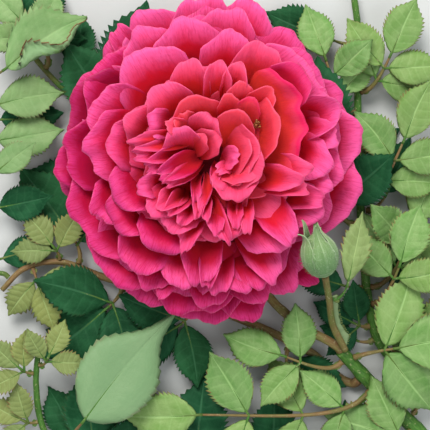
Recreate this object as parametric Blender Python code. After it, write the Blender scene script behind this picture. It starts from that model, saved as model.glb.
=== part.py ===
"""Cut flowering shoot of a rose, lying on a level surface with its open bloom facing up.

Lengths are in millimetres until a mesh is made, in metres. +Z is up, and +Y is the top of the shoot.
"""

import math
import random

import bmesh
import bpy
from mathutils import Matrix, Vector
from mathutils.bvhtree import BVHTree

MM = 0.001
GAP = 0.3

# Layout grid, as seen from straight above: UNIT is one square's width at height FOCUS.
UNIT = 0.36
FOCUS = 40.0
EYE = 540.0
GRID_MIDDLE = 215.0
ORIGIN_X = 5.5
ORIGIN_Y = -9.6

# Bloom.
BLOOM_PLACE = (208, 156)
BLOOM_HEIGHT = 45.0
PETAL_COLUMNS = 3
PETAL_THICK = 0.9
TUCK = 2.4
LENGTHWAYS = 0.06
HIP_FOOT = 8.0
HIP_TOP = 16.8
HIP_RADIUS = 5.6
SEPAL_LENGTH = 27.0

# Bud.
BUD_LENGTH = 17.0
BUD_RADIUS = 6.0

# Leaves.
LEAF_THICK = 0.9
RACHIS_RADIUS = 0.75
NECK = 2.4
BRACT_WIDTH = 0.62

UP = Vector((0, 0, 1))
rng = random.Random(11)
solids = {}


def spot(x, y, z):
    """The place at height z that the eye above the layout grid sees at square x, y."""
    reach = UNIT * (EYE - z) / (EYE - FOCUS)
    return Vector(((x - GRID_MIDDLE) * reach - ORIGIN_X, (GRID_MIDDLE - y) * reach - ORIGIN_Y, z))


AXIS = spot(*BLOOM_PLACE, BLOOM_HEIGHT)
AXIS.z = 0


def material(name, color, roughness):
    made = bpy.data.materials.new(name)
    made.use_nodes = True
    shader = made.node_tree.nodes["Principled BSDF"]
    shader.inputs["Base Color"].default_value = (*color, 1)
    shader.inputs["Roughness"].default_value = roughness
    shader.inputs["Metallic"].default_value = 0
    return made


def solid(name, points, faces, look=None, smooth=False):
    """An object with one mesh, from points in millimetres."""
    mesh = bpy.data.meshes.new(name)
    mesh.from_pydata([p * MM for p in points], [], faces)
    bm = bmesh.new()
    bm.from_mesh(mesh)
    bmesh.ops.recalc_face_normals(bm, faces=bm.faces)
    bmesh.ops.triangulate(bm, faces=bm.faces)
    for face in bm.faces:
        face.smooth = smooth
    bm.to_mesh(mesh)
    bm.free()
    made = bpy.data.objects.new(name, mesh)
    bpy.context.scene.collection.objects.link(made)
    if look:
        mesh.materials.append(look)
    return made


def bezier(a, b, c, d, t):
    near = a * (1 - t) ** 3 + b * 3 * t * (1 - t) ** 2
    return near + c * 3 * t * t * (1 - t) + d * t**3


def smooth_path(points, steps):
    """A curve through the points, with some steps between each two."""
    spans = [(b - a).normalized() for a, b in zip(points, points[1:])]
    turns = [spans[0]] + [(a + b).normalized() for a, b in zip(spans, spans[1:])] + [spans[-1]]
    path = []
    for a, b, leave, reach in zip(points, points[1:], turns, turns[1:]):
        third = (b - a).length / 3
        for i in range(steps):
            path.append(bezier(a, a + leave * third, b - reach * third, b, i / steps))
    return path + [points[-1].copy()]


def tube(path, radii, sides):
    """Points and faces of a closed tapering tube along the path."""
    points = []
    faces = []
    side = None
    last = len(path) - 1
    for i, (place, radius) in enumerate(zip(path, radii)):
        ahead = (path[min(i + 1, last)] - path[max(i - 1, 0)]).normalized()
        if side is None:
            side = ahead.cross(UP).normalized() if abs(ahead.z) < 0.9 else Vector((1, 0, 0))
        side = (side - ahead * side.dot(ahead)).normalized()
        other = ahead.cross(side)
        for k in range(sides):
            turn = 2 * math.pi * (k + 0.5) / sides
            points.append(place + (side * math.cos(turn) + other * math.sin(turn)) * radius)
    for i in range(last):
        for k in range(sides):
            a = i * sides + k
            b = i * sides + (k + 1) % sides
            faces.append((a, b, b + sides, a + sides))
    faces.append(tuple(reversed(range(sides))))
    faces.append(tuple(range(last * sides, last * sides + sides)))
    return points, faces


def tree_of(points, faces):
    return BVHTree.FromPolygons([tuple(p) for p in points], faces)


def remember(obj):
    """Notes a finished solid, so that later pieces keep clear of it."""
    points = [v.co / MM for v in obj.data.vertices]
    faces = [tuple(p.vertices) for p in obj.data.polygons]
    solids[obj.name] = tree_of(points, faces)


def one_shell(obj):
    """Fills any sealed hollow and drops loose scraps: only the largest shell stays."""
    bm = bmesh.new()
    bm.from_mesh(obj.data)
    bmesh.ops.triangulate(bm, faces=bm.faces)
    todo = set(bm.faces)
    shells = []
    while todo:
        queue = [todo.pop()]
        shell = list(queue)
        while queue:
            for edge in queue.pop().edges:
                for face in edge.link_faces:
                    if face in todo and len(edge.link_faces) == 2:
                        todo.remove(face)
                        queue.append(face)
                        shell.append(face)
        size = sum(f.calc_area() * f.normal.dot(f.calc_center_median()) for f in shell)
        shells.append((size, shell))
    shells.sort(key=lambda entry: entry[0])
    for _, shell in shells[:-1]:
        bmesh.ops.delete(bm, geom=shell, context="FACES")
    bm.to_mesh(obj.data)
    bm.free()


def fuse(body, pieces, solver):
    """Joins the pieces to the body as one closed solid."""
    group = bpy.data.collections.new(body.name + "_pieces")
    bpy.context.scene.collection.children.link(group)
    for piece in pieces:
        bpy.context.scene.collection.objects.unlink(piece)
        group.objects.link(piece)
    join = body.modifiers.new("join", "BOOLEAN")
    join.operation = "UNION"
    join.operand_type = "COLLECTION"
    join.collection = group
    join.solver = solver
    bpy.context.view_layer.objects.active = body
    with bpy.context.temp_override(object=body, active_object=body):
        bpy.ops.object.modifier_apply(modifier=join.name)
    for piece in pieces:
        bpy.data.objects.remove(piece)
    bpy.data.collections.remove(group)
    one_shell(body)


class Limb:
    """A stem: one tapering tube along a smooth path."""

    def __init__(self, name, points, thick, thin, look, sides=6, steps=3):
        self.name = name
        self.path = smooth_path(points, steps)
        last = len(self.path) - 1
        self.radii = [thick + (thin - thick) * i / last for i in range(last + 1)]
        made = solid(name, *tube(self.path, self.radii, sides), look, smooth=True)
        remember(made)

    def at(self, share):
        """The middle, radius and heading of the limb, a share of its length from its foot."""
        steps = [(b - a).length for a, b in zip(self.path, self.path[1:])]
        left = share * sum(steps)
        i = 0
        while i < len(steps) - 1 and left > steps[i]:
            left -= steps[i]
            i += 1
        t = left / steps[i]
        place = self.path[i].lerp(self.path[i + 1], t)
        radius = self.radii[i] + (self.radii[i + 1] - self.radii[i]) * t
        return place, radius, (self.path[i + 1] - self.path[i]).normalized()

    def side(self, share, toward):
        """Where a twig for a place starts, GAP clear of the limb's skin, and which way it leaves."""
        place, radius, heading = self.at(share)
        level = heading.cross(UP).normalized()
        way = toward - place
        out = level if way.dot(level) > 0 else -level
        climb = min(1.2, max(0.2, way.z / 12))
        out = (out + UP * climb).normalized()
        out = (out - heading * out.dot(heading)).normalized()
        return place + out * (radius + GAP), out


def leaflet(root, heading, up, length, width, fold, droop, extra=0.0):
    """Points and faces of one folded blade, thickest at its midrib, with a short neck at its root."""
    heading = heading.normalized()
    side = heading.cross(up).normalized()
    up = side.cross(heading)
    thick = LEAF_THICK / 2 + extra
    points = []
    faces = []
    half = 0.5
    for along in (0.0, 0.12, 0.38, 0.66, 0.88):
        place = root.copy()
        lift = 0
        if along > 0:
            place += heading * (NECK + along * length) - up * droop * length * along * along
            half = width / 2 * math.sin(math.pi * along**0.85) ** 0.75
            lift = fold * half
        half += extra
        points += [
            place + side * half + up * lift,
            place + up * thick,
            place - side * half + up * lift,
            place - up * thick,
        ]
    for i in range(4):
        for k in range(4):
            a = 4 * i + k
            b = 4 * i + (k + 1) % 4
            faces.append((a, b, b + 4, a + 4))
    points.append(root + heading * (NECK + length) - up * droop * length)
    faces += [(16 + k, 16 + (k + 1) % 4, 20) for k in range(4)]
    faces.append((3, 2, 1, 0))
    return points, faces


def free(points, faces):
    """Whether a piece keeps clear of every finished solid and stays above the surface."""
    if min(p.z for p in points) < 0:
        return False
    tree = tree_of(points, faces)
    return not any(tree.overlap(other) for other in solids.values())


class Leaf:
    """A compound leaf: pairs of leaflets and one at the tip, on a rachis that starts beside a limb.

    The rachis climbs beside the limb, then runs level at the height of its tip.
    """

    def __init__(self, name, limb, share, tip, size, pairs, look):
        self.rng = random.Random(name)
        self.slim = BRACT_WIDTH if name == "leaf_bud" else 1.0
        self.pieces = []
        self.blades = []
        start, out = limb.side(share, tip)
        way = tip - start
        across = way.cross(UP).normalized()
        size = min(size, 0.7 * way.length)
        end = 1 - size / way.length
        radii = [RACHIS_RADIUS * (1.6 - 0.17 * i) for i in range(5)]
        for bend in (0, 5, -5, 10, -10, 15, -15):
            third = start.lerp(tip, 0.5) + across * bend
            third.z = tip.z + 1.5
            curve = (start, start + out * 0.2 * way.length, third, tip)
            path = [bezier(*curve, end * i / 4) for i in range(5)]
            if free(*tube(path, [r + 0.15 for r in radii], 3)):
                break
        body = solid(name, *tube(path, radii, 3), look)
        self.blade(path[-1], tip - path[-1], size - 1.0)
        for k in range(pairs):
            t = end * (0.8 - 0.27 * (pairs - 1 - k))
            place = bezier(*curve, t)
            ahead = bezier(*curve, t + 0.02) - place
            grown = size * (0.93 - 0.1 * (pairs - 1 - k))
            for hand in (-1, 1):
                angle = math.radians(hand * self.rng.uniform(56, 68))
                out = Matrix.Rotation(angle, 3, "Z") @ ahead
                self.blade(place, out, grown * self.rng.uniform(0.92, 1.0))
        fuse(body, self.pieces, "EXACT")
        remember(body)

    def blade(self, root, heading, length):
        """Adds a leaflet, pitched and shortened as far as it needs to keep clear, or leaves it out."""
        heading = Vector((heading.x, heading.y, 0)).normalized()
        side = heading.cross(UP)
        root = root - heading * 0.5
        wide = self.rng.uniform(0.62, 0.7) * self.slim
        fold = self.rng.uniform(0.12, 0.3)
        droop = self.rng.uniform(0.02, 0.1)
        pitch = self.rng.uniform(-4, 6)
        lean = self.rng.uniform(-9, 9)
        for part in (1.0, 0.85, 0.7):
            for more in (0, 6, -6, 12, -12, 18, -18, 24):
                turned = Matrix.Rotation(math.radians(pitch + more), 3, side) @ heading
                rolled = Matrix.Rotation(math.radians(lean), 3, turned) @ UP
                shape = (root, turned, rolled, length * part, length * part * wide, fold, droop)
                points, faces = leaflet(*shape, extra=GAP)
                beyond_neck = tree_of(points, faces[4:-1])
                if any(beyond_neck.overlap(other) for other in self.blades):
                    continue
                if free(points, faces):
                    self.blades.append(beyond_neck)
                    self.pieces.append(solid("blade", *leaflet(*shape)))
                    return


def petal_rows(azimuth, root, tip, slope, half, wrap, across, along, ruffle):
    """Rows of points of one petal, from its root to its rim.

    root and tip are (radius, height) from the bloom's axis, and slope is the rim's climb in degrees.
    """
    out = Vector((math.cos(azimuth), math.sin(azimuth), 0))
    side = Vector((-out.y, out.x, 0))
    reach = tip[0] - root[0]
    rise = tip[1] - root[1]
    lean = math.radians(slope)
    second = (root[0] + 0.3 * reach, root[1] + 0.45 * rise)
    third = (tip[0] - 0.4 * reach * math.cos(lean), tip[1] - 0.4 * reach * math.sin(lean))
    phase = rng.uniform(0, 2 * math.pi)
    rows = []
    for j in range(along + 1):
        v = j / along
        row = []
        for i in range(across + 1):
            u = 2 * i / across - 1
            s = v * (1 - 0.3 * abs(u) ** 2.5)
            a, b, c, d = (1 - s) ** 3, 3 * s * (1 - s) ** 2, 3 * s * s * (1 - s), s**3
            r = a * root[0] + b * second[0] + c * third[0] + d * tip[0]
            z = a * root[1] + b * second[1] + c * third[1] + d * tip[1]
            x = u * half * (0.25 + 0.75 * math.sin(min(1, v / 0.7) * math.pi / 2))
            r -= wrap * x * x / max(tip[0], 1)
            z += ruffle * math.sin(2.5 * u + phase) * v**2 - TUCK * u * v
            row.append(AXIS + out * r + side * x + UP * z)
        rows.append(row)
    return rows


def sheet(name, rows, thick):
    """A thin closed solid from a grid of points, thickened both ways."""
    points = [p for row in rows for p in row]
    wide = len(rows[0])
    faces = []
    for j in range(len(rows) - 1):
        for i in range(wide - 1):
            a = j * wide + i
            faces.append((a, a + 1, a + 1 + wide, a + wide))
    made = solid(name, points, faces)
    grow = made.modifiers.new("thick", "SOLIDIFY")
    grow.thickness = thick * MM
    grow.offset = 0
    return made


def turned(name, profile, sides, middle, look=None):
    """A closed solid of revolution about the vertical through middle, from (radius, height) pairs."""
    points = [middle + UP * profile[0][1]]
    faces = []
    for radius, height in profile[1:-1]:
        for k in range(sides):
            angle = 2 * math.pi * k / sides
            around = Vector((math.cos(angle), math.sin(angle), 0))
            points.append(middle + around * radius + UP * height)
    points.append(middle + UP * profile[-1][1])
    top = len(points) - 1
    rows = len(profile) - 2
    for k in range(sides):
        n = (k + 1) % sides
        faces.append((0, 1 + n, 1 + k))
        for j in range(rows - 1):
            a = 1 + j * sides
            faces.append((a + k, a + n, a + n + sides, a + k + sides))
        a = 1 + (rows - 1) * sides
        faces.append((a + k, a + n, top))
    return solid(name, points, faces, look, smooth=True)


def build_bloom(look):
    """Rosette of petals in whorls, standing out of one smaller core."""
    core_profile = (
        (0, 17.2),
        (5, 17.2),
        (8, 20.5),
        (27, 23.5),
        (35, 26.5),
        (34, 30),
        (27, 36),
        (19, 39.5),
        (11, 40),
        (5, 37),
        (0, 36),
    )
    body = turned("bloom", core_profile, 10, AXIS, look)
    # count, root radius and height, rim radius and height, rim climb, half width, ruffle
    whorls = (
        (7, 4.0, 18.6, 56, 18.0, -14, 22.0, 1.6),
        (8, 4.5, 20.0, 58, 25.0, -8, 20.5, 1.6),
        (7, 12.0, 25.0, 54, 32.5, -4, 20.0, 1.6),
        (6, 14.0, 29.0, 46, 40.0, 0, 18.5, 1.6),
        (6, 13.0, 32.0, 37, 46.0, 4, 15.0, 1.4),
        (5, 11.0, 34.0, 27, 50.0, 8, 12.0, 1.2),
        (4, 8.0, 35.0, 18, 51.5, 14, 9.0, 0.9),
        (3, 4.0, 34.0, 9, 49.5, 25, 4.8, 0.5),
    )
    pieces = []
    for number, (count, r0, z0, r1, z1, climb, half, ruffle) in enumerate(whorls):
        along = 3 if 0 < number < 4 else 2
        for k in range(count):
            azimuth = 2 * math.pi * (k + 0.37 * number + rng.uniform(-0.12, 0.12)) / count
            reach = r1 * rng.uniform(0.97, 1.02) * (1 + LENGTHWAYS * abs(math.sin(azimuth)))
            tip = (reach, z1 + rng.uniform(-1, 1))
            wide = half * rng.uniform(0.9, 1.08)
            rows = petal_rows(azimuth, (r0, z0), tip, climb, wide, 0.6, PETAL_COLUMNS, along, ruffle)
            pieces.append(sheet("petal", rows, PETAL_THICK))
    fuse(body, pieces, "MANIFOLD")
    remember(body)
    return body


def build_calyx(look):
    """Rose hip under the bloom, with five pointed sepals spread below the petals."""
    profile = (
        (0, HIP_FOOT),
        (2.2, HIP_FOOT),
        (4.6, HIP_FOOT + 2.2),
        (HIP_RADIUS, HIP_FOOT + 5),
        (HIP_RADIUS - 0.6, HIP_TOP - 0.6),
        (3.6, HIP_TOP),
        (0, HIP_TOP),
    )
    body = turned("calyx", profile, 10, AXIS, look)
    pieces = []
    for k in range(5):
        angle = 2 * math.pi * (k + 0.2) / 5
        out = Vector((math.cos(angle), math.sin(angle), -0.16)).normalized()
        root = AXIS + out * 2.5 + UP * (HIP_TOP - 1.8)
        shape = leaflet(root, out, UP, SEPAL_LENGTH - NECK, 7.5, 0.1, 0.04)
        pieces.append(solid("sepal", *shape))
    fuse(body, pieces, "EXACT")
    remember(body)


def build_bud(base, heading, look):
    """Closed bud: a pointed egg with five sepals whose tips stand out beyond it."""
    profile = (
        (0, 0),
        (1.9, 0.2),
        (BUD_RADIUS * 0.78, 3),
        (BUD_RADIUS, 6.5),
        (BUD_RADIUS * 0.88, 10.5),
        (BUD_RADIUS * 0.5, BUD_LENGTH - 2.4),
        (0, BUD_LENGTH),
    )
    body = turned("bud", profile, 8, Vector((0, 0, 0)), look)
    pieces = []
    for k in range(5):
        angle = 2 * math.pi * (k + 0.13) / 5
        around = Vector((math.cos(angle), math.sin(angle), 0))
        root = around * (BUD_RADIUS * 0.72) + UP * 4.0
        climb = (UP - around * 0.12).normalized()
        inward = 0.04 + 0.025 * (k * 2 % 5)
        shape = leaflet(root, climb, around, BUD_LENGTH - 3.6 + 0.3 * k, 5.6, -0.2, inward)
        pieces.append(solid("sepal", *shape))
    fuse(body, pieces, "EXACT")
    turn = UP.rotation_difference(heading).to_matrix().to_4x4()
    body.data.transform(Matrix.Translation(base * MM) @ turn)
    remember(body)


for old in list(bpy.data.objects):
    bpy.data.objects.remove(old, do_unlink=True)

petal_look = material("petal_pink", (0.78, 0.035, 0.13), 0.5)
calyx_look = material("calyx_green", (0.13, 0.24, 0.07), 0.6)
bud_look = material("bud_green", (0.24, 0.38, 0.16), 0.65)
stalk_look = material("stalk_russet", (0.3, 0.17, 0.09), 0.55)
cane_look = material("cane_green", (0.12, 0.24, 0.06), 0.5)
leaf_look = material("leaf_green", (0.1, 0.24, 0.06), 0.5)
young_look = material("leaf_young", (0.22, 0.3, 0.09), 0.5)

build_bloom(petal_look)
build_calyx(calyx_look)

# Cane from its cut end to the node that carries bloom and bud.
cane_points = [spot(452, 468, 3.4), spot(405, 418, 4.0), spot(362, 374, 7.0), spot(341, 351, 13.0)]
cane = Limb("cane", cane_points, 3.3, 2.3, cane_look)
node, _, cane_heading = cane.at(1.0)

stalk_points = [
    node + cane_heading * GAP,
    node + cane_heading * 2.6,
    spot(302, 326, 12),
    spot(272, 300, 9),
    AXIS + Vector((9, -30, 4.6)),
    AXIS + Vector((2.2, -8, 3.0)),
    AXIS + Vector((0, -0.8, 5.0)),
    AXIS + UP * (HIP_FOOT - GAP),
]
bloom_stalk = Limb("bloom_stalk", stalk_points, 1.7, 1.7, stalk_look)

bud_base = spot(325, 276, 40)
bud_heading = (spot(311, 222, 47) - bud_base).normalized()
bud_points = [
    node + Vector((1.3, 0.6, 3.1)),
    spot(333, 325, 23),
    spot(329, 298, 33),
    bud_base - bud_heading * GAP,
]
bud_stalk = Limb("bud_stalk", bud_points, 1.3, 1.2, stalk_look)
build_bud(bud_base, bud_heading, bud_look)


def shoot(name, limb, share, points, thick, thin, look=cane_look):
    """A side shoot that starts beside a limb."""
    place, radius, heading = limb.at(share)
    out = points[0] - place
    out = (out - heading * out.dot(heading)).normalized()
    start = place + out * (radius + GAP)
    return Limb(name, [start, start + out * 2 * thick] + points, thick, thin, look)


right_points = [
    spot(376, 335, 4),
    spot(362, 230, 4),
    spot(358, 120, 4),
    spot(357, 20, 5),
    spot(352, -15, 6),
]
right_shoot = shoot("right_shoot", cane, 0.525, right_points, 2.2, 1.1)
left_points = [
    spot(310, 352, 4),
    spot(205, 306, 3.6),
    spot(100, 276, 4),
    spot(60, 262, 5),
    spot(25, 268, 6),
    spot(2, 290, 5),
]
left_shoot = shoot("left_shoot", cane, 0.76, left_points, 1.9, 1.0, stalk_look)
upper_points = [
    spot(135, 215, 3.5),
    spot(86, 115, 4),
    spot(45, 70, 5),
    spot(5, 20, 6),
]
upper_left_shoot = shoot("upper_left_shoot", left_shoot, 0.585, upper_points, 1.5, 0.9, stalk_look)
edge_points = [
    spot(-17, 272, 6),
    spot(-25, 215, 6.5),
    spot(-26, 130, 7),
    spot(-21, 75, 8),
]
edge_shoot = shoot("edge_shoot", left_shoot, 0.965, edge_points, 1.0, 0.8, stalk_look)
bottom_points = [
    spot(350, 482, 3.4),
    spot(200, 494, 3.2),
    spot(90, 480, 3.6),
    spot(52, 458, 4),
]
bottom_shoot = shoot("bottom_shoot", cane, 0.18, bottom_points, 2.2, 1.5)
sprout_points = [
    spot(47, 436, 6),
    spot(36, 385, 10),
    spot(38, 354, 14),
]
sprout_stem = shoot("sprout_stem", bottom_shoot, 0.96, sprout_points, 1.4, 1.1)

# limb, share of the way along it, tip of the end leaflet, its length, pairs
leaves = {
    "leaf_right_low": (cane, 0.92, spot(498, 332, 20), 33, 1),
    "leaf_node_left": (cane, 0.945, spot(206, 328, 13), 24, 1),
    "leaf_bud": (bud_stalk, 0.7, spot(368, 198, 34), 28, 0),
    "leaf_right_petiole": (right_shoot, 0.25, spot(428, 192, 24), 24, 1),
    "leaf_right_edge": (right_shoot, 0.07, spot(470, 275, 13), 28, 2),
    "leaf_bottom": (cane, 0.68, spot(96, 418, 11), 29, 3),
    "leaf_cane_low": (cane, 0.34, spot(316, 416, 17), 28, 1),
    "leaf_front": (sprout_stem, 0.16, spot(178, 312, 40), 53, 0),
    "leaf_sprout_left": (sprout_stem, 0.84, spot(-14, 340, 19), 17, 1),
    "leaf_sprout_up": (sprout_stem, 0.92, spot(66, 316, 22), 15, 1),
    "leaf_sprout_low": (sprout_stem, 0.45, spot(-18, 400, 13), 20, 1),
    "leaf_arch_up": (left_shoot, 0.83, spot(20, 210, 13), 20, 1),
    "leaf_arch_low": (left_shoot, 0.9, spot(55, 335, 11), 19, 1),
    "leaf_upper_curled": (edge_shoot, 0.97, spot(97, 2, 21), 37, 0),
    "leaf_upper_pale": (edge_shoot, 0.86, spot(69, 90, 16), 26, 0),
    "leaf_upper_left": (edge_shoot, 0.7, spot(69, 127, 14), 27, 0),
    "leaf_upper_near": (edge_shoot, 0.5, spot(33, 141, 27), 19, 0),
    "leaf_upper_end": (upper_left_shoot, 0.8, spot(-30, -25, 14), 20, 1),
    "leaf_behind_left": (left_shoot, 0.785, spot(10, 155, 7), 40, 1),
    "leaf_behind_top": (upper_left_shoot, 0.53, spot(150, -15, 8), 42, 1),
    "leaf_behind_low": (left_shoot, 0.475, spot(110, 372, 7), 38, 1),
    "leaf_top_right": (right_shoot, 0.75, spot(425, -18, 14), 24, 2),
    "leaf_top_left": (right_shoot, 0.7, spot(300, -14, 12), 22, 2),
    "leaf_right_high": (right_shoot, 0.5, spot(440, 62, 16), 25, 2),
    "leaf_right_mid": (right_shoot, 0.29, spot(455, 135, 11), 28, 2),
    "leaf_behind_right": (right_shoot, 0.44, spot(310, 25, 8), 36, 2),
    "leaf_behind_foot": (left_shoot, 0.215, spot(262, 440, 6), 36, 1),
    "leaf_behind_bud": (right_shoot, 0.2, spot(310, 300, 8), 32, 1),
    "leaf_behind_edge": (right_shoot, 0.36, spot(440, 240, 7), 34, 1),
    "leaf_behind_sprout": (bottom_shoot, 0.88, spot(90, 360, 8), 36, 1),
    "leaf_behind_end": (upper_left_shoot, 0.9, spot(60, -25, 7), 34, 1),
    "leaf_behind_arch": (left_shoot, 0.66, spot(30, 365, 6), 36, 1),
    "leaf_below_high": (right_shoot, 0.86, spot(258, 8, 6), 38, 0),
    "leaf_below_side": (right_shoot, 0.47, spot(432, 100, 6), 38, 0),
    "leaf_below_right": (right_shoot, 0.12, spot(432, 300, 6), 36, 0),
    "leaf_below_upper": (edge_shoot, 0.8, spot(70, 112, 5), 38, 0),
    "leaf_below_left": (edge_shoot, 0.4, spot(62, 195, 5), 38, 0),
    "leaf_below_edge": (edge_shoot, 0.15, spot(60, 245, 5), 34, 0),
    "leaf_below_foot": (bottom_shoot, 0.62, spot(205, 365, 5), 40, 0),
    "leaf_below_middle": (bottom_shoot, 0.42, spot(275, 385, 5), 38, 0),
    "leaf_below_low": (bottom_shoot, 0.2, spot(345, 395, 5), 34, 0),
    "leaf_below_corner": (upper_left_shoot, 0.7, spot(82, 6, 6), 32, 0),
    "leaf_below_end": (cane, 0.4, spot(432, 345, 5), 34, 0),
    "leaf_below_sprout": (bottom_shoot, 0.94, spot(28, 352, 5), 38, 0),
    "leaf_below_stalk": (right_shoot, 0.17, spot(298, 318, 5), 32, 0),
    "leaf_below_far": (upper_left_shoot, 0.3, spot(12, 166, 5), 38, 0),
    "leaf_below_bud": (right_shoot, 0.29, spot(288, 268, 6), 36, 0),
}
young = ("leaf_sprout_left", "leaf_sprout_up", "leaf_sprout_low", "leaf_bud")
for name, (limb, share, tip, size, pairs) in leaves.items():
    Leaf(name, limb, share, tip, size, pairs, young_look if name in young else leaf_look)
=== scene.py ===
import math
import random
from functools import partial

import bmesh
import bpy
import numpy as np
from mathutils import Matrix, Vector
from mathutils.bvhtree import BVHTree


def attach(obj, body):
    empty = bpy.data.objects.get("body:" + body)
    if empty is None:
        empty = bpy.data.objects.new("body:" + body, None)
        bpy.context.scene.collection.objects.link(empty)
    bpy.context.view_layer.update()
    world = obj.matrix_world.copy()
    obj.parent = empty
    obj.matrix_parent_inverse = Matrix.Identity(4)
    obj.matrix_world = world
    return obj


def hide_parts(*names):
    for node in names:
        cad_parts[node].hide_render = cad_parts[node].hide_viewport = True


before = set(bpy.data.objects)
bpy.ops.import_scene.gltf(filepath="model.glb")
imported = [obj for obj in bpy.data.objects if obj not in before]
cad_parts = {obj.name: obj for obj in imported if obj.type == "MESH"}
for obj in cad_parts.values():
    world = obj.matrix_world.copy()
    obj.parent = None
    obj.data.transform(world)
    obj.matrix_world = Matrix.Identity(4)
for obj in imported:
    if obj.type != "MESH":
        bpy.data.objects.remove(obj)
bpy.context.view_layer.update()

MM = 0.001
GAP = 0.3
PETAL_SEED = 29
WING_SEED = 12
SEPAL_SEED = 5
HAIR_SEED = 8

# Layout grid of the shoot, as seen from straight above: UNIT is one square's width at height FOCUS.
UNIT = 0.36
FOCUS = 40.0
EYE = 540.0
GRID_WIDTH = 430
GRID_MIDDLE = GRID_WIDTH / 2
ORIGIN_X = 5.5
ORIGIN_Y = -9.6
BLOOM_PLACE = (208, 156)
BLOOM_HEIGHT = 45.0
HIP_FOOT = 8.0
HIP_TOP = 16.8
HIP_RADIUS = 5.6
SEPAL_LENGTH = 27.0
BUD_LENGTH = 17.0
BUD_RADIUS = 6.0
LEAF_THICK = 0.9
RACHIS_RADIUS = 0.75
NECK = 2.4
BRACT_WIDTH = 0.62
UP = Vector((0, 0, 1))
WELD = 2e-7
MAP_MARGIN = 0.04


def spot(x, y, z):
    """The place at height z that the eye above the layout grid sees at square x, y."""
    reach = UNIT * (EYE - z) / (EYE - FOCUS)
    return Vector(((x - GRID_MIDDLE) * reach - ORIGIN_X, (GRID_MIDDLE - y) * reach - ORIGIN_Y, z))


def spots(*squares):
    return [spot(*square) for square in squares]


AXIS = spot(*BLOOM_PLACE, BLOOM_HEIGHT)
AXIS.z = 0

# Meshes made of many thin blades and tubes


def smoothstep(low, high, value):
    t = np.clip((value - low) / (high - low), 0, 1)
    return t * t * (3 - 2 * t)


def unit(vectors):
    return vectors / np.maximum(np.linalg.norm(vectors, axis=-1, keepdims=True), 1e-9)


def grain_of(across, along, seed):
    """The grain of a grid of points, from values that spread over it."""
    return np.stack(np.broadcast_arrays(across, along, seed), -1)


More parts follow.
